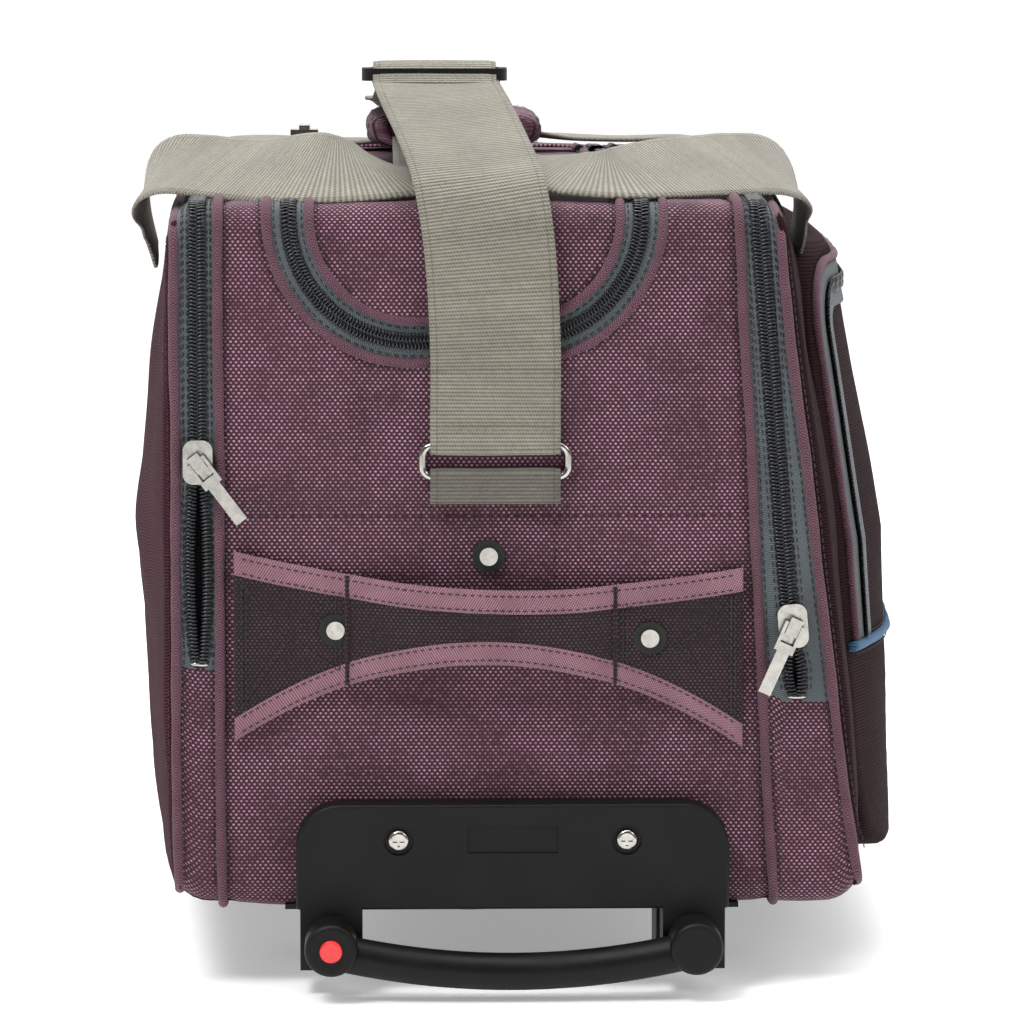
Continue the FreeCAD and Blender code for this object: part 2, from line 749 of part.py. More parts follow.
def ring_loop(y):
    points = [(strap_x - ring_half, ring_z - ring_height / 2),
              (strap_x + ring_half, ring_z - ring_height / 2),
              (strap_x + ring_half, ring_z + ring_height / 2),
              (strap_x - ring_half, ring_z + ring_height / 2)]
    path = rounded_wire(points, [4.0] * 4, y)
    start = path.Edges[1].valueAt(path.Edges[1].FirstParameter)
    direction = path.Edges[1].tangentAt(path.Edges[1].FirstParameter)
    profile = Part.Wire([Part.Circle(start, direction, ring_wire / 2).toShape()])
    ordered = Part.Wire(path.Edges[1:] + path.Edges[:1])
    return ordered.makePipeShell([profile], True, False)


def make_strap():
    rings = []
    anchors = []
    loops = []
    half = webbing_width / 2
    for side in (-1, 1):
        face = side * bag_length / 2
        y = face + side * ring_y
        rings.append(ring_loop(y))
        y0, y1 = sorted((face + side * 0.3, face + side * (2 * ring_y - 0.3)))
        for z0, z1, bar, kept in (
                (anchor_bottom, ring_z - 1.0, ring_z - ring_height / 2, anchors),
                (ring_z + 1.0, ring_z + 16.0, ring_z + ring_height / 2, loops)):
            block = box(strap_x - half, strap_x + half, y0, y1, z0, z1)
            block = block.cut(cylinder_x(y, bar, strap_x - 60, strap_x + 60,
                                         ring_wire / 2 + 0.2))
            kept.append(block)
    across = (1.0, 0.0, 0.0)
    top = ring_z + 16.0
    out = bag_length / 2 + ring_y
    route = [
        ((strap_x, -out, top - 2), across),
        ((strap_x, -out - 1.5, bag_top - 54), across),
        ((strap_x - 2, -out - 2.5, bag_top - 18), across),
        ((strap_x - 6, -out + 6, bag_top + 8), across),
        ((strap_x - 13, -out + 39, bag_top + 26), across),
        ((strap_x - 20, buckle_y - 28, bag_top + 40), across),
        ((strap_x - 22, buckle_y, bag_top + 44), across),
        ((strap_x - 20, buckle_y + 32, bag_top + 42), across),
        ((strap_x - 12, -60, bag_top + 36), across),
        ((strap_x - 6, 0, bag_top + 33.5), across),
        ((strap_x - 2, 80, bag_top + 34), across),
        ((strap_x, 150, bag_top + 32), across),
        ((strap_x, out - 39, bag_top + 19), across),
        ((strap_x, out - 5, bag_top + 4), across),
        ((strap_x, out + 2.5, bag_top - 18), across),
        ((strap_x, out + 1.5, bag_top - 54), across),
        ((strap_x, out, top - 2), across),
    ]
    band = ribbon(smooth_route(route, 48), webbing_width, webbing)
    strap = band.fuse(loops)
    buckle = make_tri_glide()
    nodes["tri_glide"] = buckle
    nodes["shoulder_strap"] = strap.cut(buckle)
    nodes["strap_anchors"] = Part.makeCompound(anchors)
    nodes["strap_rings"] = Part.makeCompound(rings)


def make_tri_glide():
    """Sliding bar buckle: a frame with two slots and a centre bar, lying on the strap."""
    width = webbing_width + 8.0
    depth = 24.0
    thick = 5.0
    x = strap_x - 22
    low = bag_top + 44.5
    frame = Part.makeBox(width, depth, thick, Vector(x - width / 2, buckle_y - depth / 2, low))
    upright = [e for e in frame.Edges if e.BoundBox.ZLength > thick - 0.1]
    frame = frame.makeFillet(7.0, upright)
    for y0 in (buckle_y - 8.5, buckle_y + 2.0):
        frame = frame.cut(box(x - webbing_width / 2 - 0.5, x + webbing_width / 2 + 0.5,
                              y0, y0 + 6.5, low - 5, low + 10))
    return frame


# ---------------------------------------------------------------- carry handles
def make_carry_handles():
    left = [
        ((-149.5, -150, bag_top - 89), (0, 1, 0)),
        ((-148.5, -150, bag_top - 42), (0, 1, 0)),
        ((-143.5, -152, bag_top - 10), (0, 1, 0.1)),
        ((-130, -156, bag_top + 11), (0, 0.95, 0.25)),
        ((-100, -154, bag_top + 18), (-0.15, 0.9, 0.36)),
        ((-62, -136, bag_top + 18), (-0.45, 0.8, 0.33)),
        ((-34, -104, bag_top + 18), (-0.8, 0.6, 0.16)),
        ((-21, -62, bag_top + 18), (-1, 0.1, 0)),
        ((wrap_x, 0, bag_top + 18), (-1, 0, 0)),
    ]
    right = [
        ((116.5, -150, bag_top - 13), (0, 1, 0)),
        ((113, -151, bag_top + 2), (0, 1, 0.1)),
        ((100, -154, bag_top + 14), (0, 0.96, 0.22)),
        ((62, -148, bag_top + 21), (0.2, 0.92, 0.32)),
        ((20, -126, bag_top + 24), (0.6, 0.76, 0.24)),
        ((-6, -98, bag_top + 24), (0.85, 0.5, 0.1)),
        ((-17, -60, bag_top + 22.5), (1, 0.1, 0)),
        ((wrap_x, 0, bag_top + 22.5), (1, 0, 0)),
    ]
    nodes["carry_handle_left"] = ribbon(smooth_half(left, 20), webbing_width, webbing)
    nodes["carry_handle_right"] = ribbon(smooth_half(right, 20), webbing_width, webbing)
    half = webbing_width / 2
    low = bag_top + wrap_rise
    wrap = box(wrap_x - half - 11, wrap_x + half + 11, -wrap_half, wrap_half, low, low + 16.2)
    wrap = wrap.makeFillet(6.0, [e for e in wrap.Edges if e.BoundBox.YLength > wrap_half])
    hole = box(wrap_x - half - 3, wrap_x + half + 3, -far_reach, far_reach, low + 3.3,
               low + 13.4)
    nodes["handle_wrap"] = wrap.cut(hole)


def smooth_half(half_route, steps):
    """Stations on the near half, then their mirror images behind y = 0."""
    near = smooth_route(half_route, steps)
    far = []
    for centre, across in reversed(near[:-1]):
        far.append((Vector(centre.x, -centre.y, centre.z),
                    Vector(across.x, -across.y, across.z)))
    flipped = []
    for centre, across in far:
        if across.dot(near[-1][1]) < 0:
            across = across * -1
        flipped.append((centre, across))
    return near + flipped


def make_lid_slider():
    """Slider of the lid zip, parked past the end of the lid's travel."""
    y = lid_hinge_y + 14.0
    top = bag_top + 5.5
    pieces = box(lid_zip_x - 6.5, lid_zip_x + 6.5, y - 8.5, y + 8.5, top, top + 4.2)
    tab = box(lid_zip_x - 2.5, lid_zip_x + 2.5, y - 4, y + 20, top + 4.2, top + 6.0)
    nodes["lid_zip_slider"] = pieces.fuse(tab).removeSplitter()


# ---------------------------------------------------------------- build
make_panels()
make_gusset("left", left_outer, left_inner, left_zip, left_zip_bottom)
make_gusset("right", right_inner, right_outer, right_zip, right_zip_bottom)
make_lid()
right_lean = math.degrees(math.atan2(right_zip(bag_top) - right_zip(bag_floor),
                                     bag_top - bag_floor))
make_slider("left", left_zip, left_slider_z, -left_tab_turn, 0.0)
make_slider("right", right_zip, right_slider_z, -right_tab_turn, right_lean)
make_pocket()
make_boards()
make_housing()
make_tubes()
make_grip()
make_saddles()
make_wheels()
make_grab_handle()
make_strap()
make_carry_handles()
make_lid_slider()

whole = Part.makeCompound(list(nodes.values()))
extent = whole.optimalBoundingBox(False)
shift_x = -round((extent.XMin + extent.XMax) / 2, 1)
shift_y = -round((extent.YMin + extent.YMax) / 2, 1)

os.makedirs("parts", exist_ok=True)
for name, shape in nodes.items():
    shape.translate(Vector(shift_x, shift_y, 0))
    shape.exportStep("parts/" + name + ".step")
print(len(nodes), "nodes, shift", shift_x, shift_y)
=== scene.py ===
import math
import random

import bpy
import numpy as np
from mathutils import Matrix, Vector


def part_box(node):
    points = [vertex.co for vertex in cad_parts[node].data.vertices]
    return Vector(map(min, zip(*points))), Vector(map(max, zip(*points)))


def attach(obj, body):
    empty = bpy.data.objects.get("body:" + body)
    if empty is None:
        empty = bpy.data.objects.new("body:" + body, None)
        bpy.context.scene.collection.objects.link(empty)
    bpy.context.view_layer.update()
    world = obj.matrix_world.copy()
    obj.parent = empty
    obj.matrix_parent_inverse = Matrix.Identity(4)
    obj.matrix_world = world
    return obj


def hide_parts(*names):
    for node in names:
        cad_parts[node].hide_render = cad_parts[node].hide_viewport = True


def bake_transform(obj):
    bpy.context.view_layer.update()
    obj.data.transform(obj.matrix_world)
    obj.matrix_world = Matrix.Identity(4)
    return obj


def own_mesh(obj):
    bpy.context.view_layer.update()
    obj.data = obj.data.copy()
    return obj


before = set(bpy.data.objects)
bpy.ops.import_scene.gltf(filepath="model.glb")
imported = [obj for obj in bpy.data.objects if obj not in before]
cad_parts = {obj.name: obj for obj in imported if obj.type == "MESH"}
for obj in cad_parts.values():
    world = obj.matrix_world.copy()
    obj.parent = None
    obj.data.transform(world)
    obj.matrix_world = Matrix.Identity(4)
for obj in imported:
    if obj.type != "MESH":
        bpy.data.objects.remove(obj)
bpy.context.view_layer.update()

# ------------------------------------------------------------------ places, from the frame
MM = 0.001


def low(node):
    """The lowest corner of a CAD node's box."""
    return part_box(node)[0]


def high(node):
    """The highest corner of a CAD node's box."""
    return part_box(node)[1]


near_y = low("end_panel_near").y
far_y = high("end_panel_far").y
mid_y = (near_y + far_y) / 2
half_length = (far_y - near_y) / 2
floor_z = low("end_panel_far").z
top_z = high("end_panel_far").z
crown = high("top_panel").z - top_z
mid_z = (floor_z + top_z) / 2
edge_round = 14 * MM         # how softly the cloth turns over the long edges
end_round = 8 * MM           # and over the end panels' edges
side_bulge = 19 * MM         # how far the sides swell at mid length

piping_r = 2.0 * MM
left_inner = high("piping_left").x - piping_r
left_outer = low("piping_left").x + piping_r
right_piping_low = low("piping_right").x + piping_r     # inner seam at the top
right_piping_high = high("piping_right").x - piping_r   # outer seam at the base
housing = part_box("handle_housing")
handle_x = (housing[0].x + housing[1].x) / 2


def seam(x_low, x_high):
    """A seam that leans from x_low at the base to x_high at the top."""
    def x_at(z):
        return x_low + (x_high - x_low) * (z - floor_z) / (top_z - floor_z)
    return x_at


right_gusset_width_low = 32.0 * MM
right_gusset_width_high = 15.0 * MM
seam_left_outer = seam(left_outer, left_outer)
seam_left_inner = seam(left_inner, left_inner)
seam_right_outer = seam(right_piping_high, right_piping_low + right_gusset_width_high)
seam_right_inner = seam(right_piping_high - right_gusset_width_low, right_piping_low)


def between_seams(first, second, share):
    return lambda z: first(z) + (second(z) - first(z)) * share


zip_left = between_seams(seam_left_outer, seam_left_inner, 0.5)
zip_right = between_seams(seam_right_inner, seam_right_outer, 0.5)

lid_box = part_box("lid_piping_body")
lid_left = lid_box[0].x + piping_r
lid_right = lid_box[1].x - piping_r
lid_low = lid_box[0].z + piping_r
lid_corner = 56 * MM
lid_hinge_y = high("lid_panel").y
lid_zip_width = low("lid_piping_lid").x + piping_r - lid_left
lid_tape = 5 * MM            # width of the body-side tape of the lid's zip

seam_inset = 2.5 * MM
side_left_low = left_outer - seam_inset
side_left_high = side_left_low
side_right_low = seam_right_outer(floor_z) + seam_inset
side_right_high = seam_right_outer(top_z) + seam_inset
side_fullness = 2.5 * MM


# ------------------------------------------------------------------ materials
class Graph:
    """Short names for the shader nodes that the materials are made of."""

    def __init__(self, name):
        self.material = bpy.data.materials.new(name)
        self.material.use_nodes = True
        self.nodes = self.material.node_tree.nodes
        self.links = self.material.node_tree.links
        self.shader = self.nodes["Principled BSDF"]

    def put(self, socket, value):
        if isinstance(value, bpy.types.NodeSocket):
            self.links.new(value, socket)
        else:
            socket.default_value = value

    def math(self, kind, a, b=0.0, c=0.0):
        node = self.nodes.new("ShaderNodeMath")
        node.operation = kind
        for socket, value in zip(node.inputs, (a, b, c)):
            self.put(socket, value)
        return node.outputs[0]

    def uv(self):
        node = self.nodes.new("ShaderNodeUVMap")
        node.uv_map = "UVMap"
        split = self.nodes.new("ShaderNodeSeparateXYZ")
        self.links.new(node.outputs[0], split.inputs[0])
        return node.outputs[0], split.outputs[0], split.outputs[1]

    def object_place(self):
        node = self.nodes.new("ShaderNodeTexCoord")
        return node.outputs["Object"]

    def noise(self, place, scale, detail=3.0, roughness=0.55):
        node = self.nodes.new("ShaderNodeTexNoise")
        self.put(node.inputs["Vector"], place)
        node.inputs["Scale"].default_value = scale
        node.inputs["Detail"].default_value = detail
        node.inputs["Roughness"].default_value = roughness
        return node.outputs["Fac"]

    def random_at(self, a, b):
        join = self.nodes.new("ShaderNodeCombineXYZ")
        self.put(join.inputs[0], a)
        self.put(join.inputs[1], b)
        node = self.nodes.new("ShaderNodeTexWhiteNoise")
        node.noise_dimensions = "2D"
        self.links.new(join.outputs[0], node.inputs["Vector"])
        return node.outputs["Value"]

    def ramp(self, value, x0, x1, y0=0.0, y1=1.0, smooth=True):
        node = self.nodes.new("ShaderNodeMapRange")
        node.interpolation_type = "SMOOTHSTEP" if smooth else "LINEAR"
        node.clamp = True
        for key, item in (("Value", value), ("From Min", x0), ("From Max", x1),
                          ("To Min", y0), ("To Max", y1)):
            self.put(node.inputs[key], item)
        return node.outputs["Result"]

    def mix(self, share, first, second):
        node = self.nodes.new("ShaderNodeMix")
        node.data_type = "RGBA"
        self.put(node.inputs["Factor"], share)
        for socket, value in ((node.inputs[6], first), (node.inputs[7], second)):
            self.put(socket, (*value, 1.0) if isinstance(value, tuple) else value)
        return node.outputs[2]

    def bump(self, height, distance, strength=1.0):
        node = self.nodes.new("ShaderNodeBump")
        node.inputs["Distance"].default_value = distance
        node.inputs["Strength"].default_value = strength
        self.put(node.inputs["Height"], height)
        self.links.new(node.outputs[0], self.shader.inputs["Normal"])

    def finish(self, colour, roughness, metallic=0.0, sheen=0.0, specular=0.5, coat=0.0):
        self.put(self.shader.inputs["Base Color"],
                 (*colour, 1.0) if isinstance(colour, tuple) else colour)
        self.put(self.shader.inputs["Roughness"], roughness)
        self.shader.inputs["Metallic"].default_value = metallic
        self.shader.inputs["Sheen Weight"].default_value = sheen
        self.shader.inputs["Sheen Roughness"].default_value = 0.5
        self.shader.inputs["Specular IOR Level"].default_value = specular
        self.shader.inputs["Coat Weight"].default_value = coat
        return self.material


def scaled(colour, factor):
    return tuple(min(c * factor, 1.0) for c in colour)


def heather(name, ground, dot, pitch=(2.05 * MM, 1.32 * MM), strength=1.0):
    """Dark ground with rows of light woven dots, brighter and duller in soft bands."""
    g = Graph(name)
    place, u, v = g.uv()
    across = g.math("DIVIDE", u, pitch[0])
    down = g.math("DIVIDE", v, pitch[1])
    row = g.math("FLOOR", down)
    shift = g.math("MULTIPLY", g.math("MODULO", g.math("ABSOLUTE", row), 2.0), 0.5)
    shifted = g.math("ADD", across, shift)
    fx = g.math("SUBTRACT", g.math("FRACT", shifted), 0.5)
    fy = g.math("SUBTRACT", g.math("FRACT", down), 0.5)
    far = g.math("SQRT", g.math("ADD", g.math("MULTIPLY", fx, fx),
                                g.math("MULTIPLY", g.math("MULTIPLY", fy, fy), 0.55)))
    spot = g.ramp(far, 0.13, 0.33, 1.0, 0.0)
    each = g.random_at(g.math("FLOOR", shifted), row)
    bands = g.noise(place, 38.0, 2.0)
    streak = g.random_at(row, 3.0)
    level = g.math("ADD", g.math("MULTIPLY", each, 0.45),
                   g.math("ADD", g.ramp(bands, 0.34, 0.66, 0.12, 0.5),
                          g.math("MULTIPLY", streak, 0.16)))
    bright = g.math("MULTIPLY", g.math("MULTIPLY", spot, level), strength)
    thread = g.math("MULTIPLY",
                    g.math("ADD", g.math("SINE", g.math("MULTIPLY", shifted, 12.566)), 1.0),
                    g.math("ADD", g.math("SINE", g.math("MULTIPLY", down, 6.283)), 1.0))
    fine = g.ramp(thread, 0.6, 3.4, 0.0, 1.0)
    base = g.mix(fine, scaled(ground, 0.55), scaled(ground, 1.55))
    tint = g.ramp(g.noise(place, 9.0, 3.0), 0.35, 0.7, 0.0, 0.35)
    base = g.mix(tint, base, scaled(ground, 1.5))
    colour = g.mix(bright, base, dot)
    height = g.math("ADD", g.math("MULTIPLY", spot, 0.7), g.math("MULTIPLY", fine, 0.4))
    g.bump(height, 0.25 * MM, 0.9)
    return g.finish(colour, 0.7, sheen=0.06, specular=0.25)


def ribbed(name, ground, light, pitch=1.25 * MM, cross=0.8 * MM, depth=0.25 * MM):
    """Ribs along u with small threads across them."""
    g = Graph(name)
    place, u, v = g.uv()
    down = g.math("DIVIDE", v, pitch)
    row = g.math("FLOOR", down)
    fv = g.math("SUBTRACT", g.math("FRACT", down), 0.5)
    rib = g.math("COSINE", g.math("MULTIPLY", fv, 6.283))
    along = g.math("ADD", g.math("DIVIDE", u, cross), g.math("MULTIPLY", row, 0.5))
    thread = g.math("SINE", g.math("MULTIPLY", along, 6.283))
    cloud = g.noise(place, 22.0, 3.0)
    both = g.math("ADD", g.math("MULTIPLY", rib, 0.6), g.math("MULTIPLY", thread, 0.35))
    share = g.math("MULTIPLY", g.ramp(both, -0.8, 0.95), g.ramp(cloud, 0.3, 0.7, 0.75, 1.1))
    colour = g.mix(share, ground, light)
    g.bump(both, depth, 0.8)
    return g.finish(colour, 0.85, sheen=0.0, specular=0.08)


def webbing_cloth(name, ground, light, width):
    """Cross-ribbed webbing: slanted threads in each rib and a woven edge. u is across."""
    g = Graph(name)
    place, u, v = g.uv()
    down = g.math("DIVIDE", v, 1.45 * MM)
    row = g.math("FLOOR", down)
    fv = g.math("SUBTRACT", g.math("FRACT", down), 0.5)
    rib = g.math("COSINE", g.math("MULTIPLY", fv, 6.283))
    slant = g.math("ADD", g.math("DIVIDE", u, 1.15 * MM),
                   g.math("ADD", g.math("MULTIPLY", fv, 0.7), g.math("MULTIPLY", row, 0.5)))
    thread = g.math("SINE", g.math("MULTIPLY", slant, 6.283))
    each = g.random_at(g.math("FLOOR", slant), row)
    long_each = g.random_at(row, 7.0)
    cloud = g.noise(place, 30.0, 3.0)
    both = g.math("ADD", g.math("MULTIPLY", rib, 0.65), g.math("MULTIPLY", thread, 0.3))
    share = g.ramp(both, -0.9, 0.85)
    share = g.math("ADD", g.math("MULTIPLY", share, 0.72), g.math("MULTIPLY", each, 0.14))
    share = g.math("ADD", share, g.math("MULTIPLY", long_each, 0.14))
    share = g.math("MULTIPLY", share, g.ramp(cloud, 0.3, 0.7, 0.82, 1.08))
    rim = g.math("ABSOLUTE", g.math("SUBTRACT", u, width / 2))
    seam = g.ramp(g.math("ABSOLUTE", g.math("SUBTRACT", rim, width / 2 - 2.6 * MM)),
                  0.0, 0.5 * MM, 0.45, 0.0)
    colour = g.mix(share, ground, light)
    colour = g.mix(seam, colour, scaled(ground, 0.7))
    g.bump(g.math("SUBTRACT", both, g.math("MULTIPLY", seam, 1.2)), 0.28 * MM, 0.9)
    return g.finish(colour, 0.66, sheen=0.2, specular=0.35)


def twill(name, ground, light, pitch=0.9 * MM, depth=0.12 * MM, roughness=0.8):
    """Fine diagonal weave, for tape, piping and binding."""
    g = Graph(name)
    place, u, v = g.uv()
    slant = g.math("ADD", g.math("DIVIDE", u, pitch), g.math("DIVIDE", v, pitch * 1.7))
    other = g.math("SUBTRACT", g.math("DIVIDE", v, pitch), g.math("DIVIDE", u, pitch * 1.7))
    wave = g.math("SINE", g.math("MULTIPLY", slant, 6.283))
    weft = g.math("SINE", g.math("MULTIPLY", other, 6.283))
    both = g.math("ADD", g.math("MULTIPLY", wave, 0.6), g.math("MULTIPLY", weft, 0.35))
    cloud = g.noise(place, 60.0, 2.0)
    share = g.math("MULTIPLY", g.ramp(both, -0.9, 0.9), g.ramp(cloud, 0.3, 0.7, 0.8, 1.1))
    colour = g.mix(share, ground, light)
    g.bump(both, depth, 0.8)
    return g.finish(colour, roughness, sheen=0.12, specular=0.3)


def grained_plastic(name, colour, roughness=0.5, grain=1500.0, depth=0.03 * MM):
    g = Graph(name)
    place = g.object_place()
    spots = g.noise(place, grain, 2.0)
    wear = g.noise(place, 45.0, 4.0)
    shade = g.mix(g.ramp(wear, 0.4, 0.75, 0.0, 0.6), colour, scaled(colour, 1.6))
    g.bump(spots, depth, 0.6)
    return g.finish(shade, g.ramp(wear, 0.3, 0.7, roughness - 0.06, roughness + 0.1),
                    specular=0.2)


def metal(name, colour, roughness, scale=350.0, brushed=False, depth=0.01 * MM):
    g = Graph(name)
    place = g.object_place()
    if brushed:
        node = g.nodes.new("ShaderNodeMapping")
        g.links.new(place, node.inputs["Vector"])
        node.inputs["Scale"].default_value = (1.0, 0.03, 1.0)
        place = node.outputs[0]
    marks = g.noise(place, scale, 4.0)
    rough = g.ramp(marks, 0.3, 0.7, roughness * 0.75, roughness * 1.35)
    shade = g.mix(g.ramp(marks, 0.35, 0.7, 0.0, 0.35), colour, scaled(colour, 0.78))
    g.bump(marks, depth, 0.5)
    return g.finish(shade, rough, metallic=1.0)


def glossy_plastic(name, colour, roughness=0.25):
    g = Graph(name)
    marks = g.noise(g.object_place(), 500.0, 2.0)
    g.bump(marks, 0.01 * MM, 0.4)
    return g.finish(colour, g.ramp(marks, 0.3, 0.7, roughness * 0.85, roughness * 1.2),
                    specular=0.5, coat=0.3)


plum_ground = (0.043, 0.013, 0.022)
plum_dot = (0.46, 0.24, 0.33)
MATERIALS = {
    "heather": heather("heather", plum_ground, plum_dot),
    "heather_dark": heather("heather_dark", (0.010, 0.005, 0.006), (0.095, 0.046, 0.062),
                            pitch=(1.75 * MM, 1.25 * MM)),
    # rib_left and rib_right_painted_shade are the same rib fabric; the right copy is painted about
    # half as bright, as painted shade for the side turned away from the key light.
    "rib_left": ribbed("rib_left", (0.014, 0.004, 0.006), (0.078, 0.024, 0.034)),
    "rib_right_painted_shade": ribbed("rib_right_painted_shade", (0.007, 0.002, 0.003), (0.036, 0.014, 0.016)),
    "base_cloth": ribbed("base_cloth", (0.008, 0.008, 0.009), (0.03, 0.03, 0.032), 0.9 * MM),
    "webbing": webbing_cloth("webbing", (0.075, 0.069, 0.052), (0.32, 0.297, 0.238), 50 * MM),
    # webbing_painted_shade is the strap's webbing at about half brightness, for the tabs under the
    # rings: painted shade.
    "webbing_painted_shade": webbing_cloth("webbing_painted_shade", (0.042, 0.038, 0.03), (0.165, 0.152, 0.122),
                                  50 * MM),
    "zip_tape": twill("zip_tape", (0.035, 0.042, 0.047), (0.125, 0.145, 0.155)),
    "piping": twill("piping", (0.034, 0.012, 0.018), (0.17, 0.075, 0.105), 1.1 * MM, 0.2 * MM),
    "binding": twill("binding", (0.085, 0.034, 0.047), (0.36, 0.19, 0.235), 1.0 * MM, 0.15 * MM),
    "blue_piping": twill("blue_piping", (0.015, 0.05, 0.10), (0.055, 0.17, 0.33), 1.0 * MM),
    "coil": glossy_plastic("coil", (0.006, 0.007, 0.011), 0.3),
    "thread": twill("thread", (0.010, 0.003, 0.006), (0.045, 0.017, 0.028), 0.5 * MM),
    "thread_dark": twill("thread_dark", (0.008, 0.008, 0.01), (0.035, 0.035, 0.04), 0.5 * MM),
    "thread_tan": twill("thread_tan", (0.10, 0.09, 0.07), (0.34, 0.32, 0.26), 0.5 * MM),
    "nickel": metal("nickel", (0.42, 0.405, 0.375), 0.2),
    "black_plastic": grained_plastic("black_plastic", (0.004, 0.004, 0.0036), 0.45),
    "rubber": grained_plastic("rubber", (0.016, 0.018, 0.016), 0.62),
    "red_button": glossy_plastic("red_button", (0.72, 0.014, 0.016)),
    "tube_metal": metal("tube_metal", (0.58, 0.58, 0.6), 0.3, 900.0, True),
    "steel": metal("steel", (0.5, 0.5, 0.51), 0.28),
    "tyre": grained_plastic("tyre", (0.014, 0.014, 0.015), 0.7, 900.0, 0.08 * MM),
    "hub_plastic": glossy_plastic("hub_plastic", (0.045, 0.045, 0.05), 0.35),
    "base_tray_plastic": grained_plastic("base_tray_plastic", (0.012, 0.012, 0.012), 0.6, 700.0),
    "base_cloth_cad": grained_plastic("base_cloth_cad", (0.014, 0.013, 0.014), 0.85, 1100.0,
                                      0.15 * MM),
    # Painted shade: a near-black sheet laid under the zips, standing in for the shaded inside of
    # the bag seen through their gaps.
    "painted_shade_inside": ribbed("painted_shade_inside", (0.002, 0.002, 0.002), (0.008, 0.007, 0.008)),
}
SLOTS = {name: name for name in MATERIALS}
SLOTS.update({
    "heather_dark": "dark_heather", "rib_left": "rib_fabric", "rib_right_painted_shade": "rib_fabric",
    "binding": "piping", "thread": "piping", "thread_dark": "zip_tape",
    "thread_tan": "webbing", "webbing_painted_shade": "webbing", "rubber": "washer_rubber",
    "painted_shade_inside": "base_cloth",
})




# ------------------------------------------------------------------ mesh building
def add_mesh(name, verts, faces, uvs, material, body, smooth=True):
    """One object from vertex, face and per-vertex UV arrays; it rides on body."""
    mesh = bpy.data.meshes.new(name)
    mesh.from_pydata([tuple(v) for v in np.asarray(verts, float)], [], faces)
    layer = mesh.uv_layers.new(name="UVMap")
    index = np.empty(len(mesh.loops), np.int32)
    mesh.loops.foreach_get("vertex_index", index)
    layer.data.foreach_set("uv", np.asarray(uvs, np.float32)[index].ravel())
    if smooth:
        mesh.polygons.foreach_set("use_smooth", np.ones(len(mesh.polygons), bool))
    mesh.validate()
    mesh.update()
    piece = bpy.data.objects.new(name, mesh)
    bpy.context.scene.collection.objects.link(piece)
    mesh.materials.append(MATERIALS[material])
    if body:
        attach(piece, body)
    return piece


def grid_normals(points):
    across = np.gradient(points, axis=0)
    along = np.gradient(points, axis=1)
    normal = np.cross(across, along)
    size = np.linalg.norm(normal, axis=2, keepdims=True)
    return normal / np.maximum(size, 1e-12)


def run_along(path):
    """Distance along a polyline at each of its points."""
    return np.concatenate([[0], np.cumsum(np.linalg.norm(np.diff(path, axis=0), axis=1))])


def sampled(at, run, values):
    """The three columns of values, given at run, read off at at."""
    return np.stack([np.interp(at, run, values[:, k]) for k in range(3)], axis=1)


def frames_along(path, up_hint=None):
    """Tangent, side and up vectors along a polyline, carried without twist."""
    path = np.asarray(path, float)
    tangent = np.gradient(path, axis=0)
    tangent /= np.maximum(np.linalg.norm(tangent, axis=1, keepdims=True), 1e-12)
    side = np.zeros_like(path)
    up = np.zeros_like(path)
    hint = np.array([0.0, 0.0, 1.0]) if up_hint is None else np.asarray(up_hint, float)
    if abs(hint @ tangent[0]) > 0.9:
        hint = np.array([1.0, 0.0, 0.0])
    for i, t in enumerate(tangent):
        hint = hint - t * (hint @ t)
        hint /= max(np.linalg.norm(hint), 1e-12)
        up[i] = hint
        side[i] = np.cross(t, hint)
    return tangent, side, up


def tube_mesh(path, radius, segments=10, up_hint=None):
    """A round tube along a polyline, with capped ends; radius may vary along it."""
    path = np.asarray(path, float)
    count = len(path)
    radii = np.broadcast_to(np.asarray(radius, float), (count,))
    _, side, up = frames_along(path, up_hint)
    angle = np.linspace(0, 2 * math.pi, segments, endpoint=False)
    ring = (np.cos(angle)[None, :, None] * side[:, None, :]
            + np.sin(angle)[None, :, None] * up[:, None, :])
    verts = (path[:, None, :] + ring * radii[:, None, None]).reshape(-1, 3)
    step = np.linalg.norm(np.diff(path, axis=0), axis=1)
    run = np.concatenate([[0], np.cumsum(step)])
    uvs = np.zeros((count, segments, 2))
    uvs[:, :, 0] = run[:, None]
    uvs[:, :, 1] = np.abs(angle - math.pi)[None, :] * radii[:, None]
    faces = []
    for i in range(count - 1):
        for k in range(segments):
            m = (k + 1) % segments
            a = i * segments
            faces.append((a + k, a + m, a + segments + m, a + segments + k))
    last = (count - 1) * segments
    faces.append(tuple(reversed(range(segments))))
    faces.append(tuple(range(last, last + segments)))
    return verts, faces, uvs.reshape(-1, 2)


def tube(name, path, radius, material, body, segments=10, up_hint=None):
    verts, faces, uvs = tube_mesh(path, radius, segments, up_hint=up_hint)
    return add_mesh(name, verts, faces, uvs, material, body)


def joined(name, parts, material, body, smooth=True):
    """One object from several (verts, faces, uvs)."""
    verts, faces, uvs, base = [], [], [], 0
    for v, f, t in parts:
        verts.append(np.asarray(v, float).reshape(-1, 3))
        uvs.append(np.asarray(t, float).reshape(-1, 2))
        faces.extend([tuple(k + base for k in face) for face in f])
        base += len(verts[-1])
    return add_mesh(name, np.concatenate(verts), faces, np.concatenate(uvs), material, body, smooth)


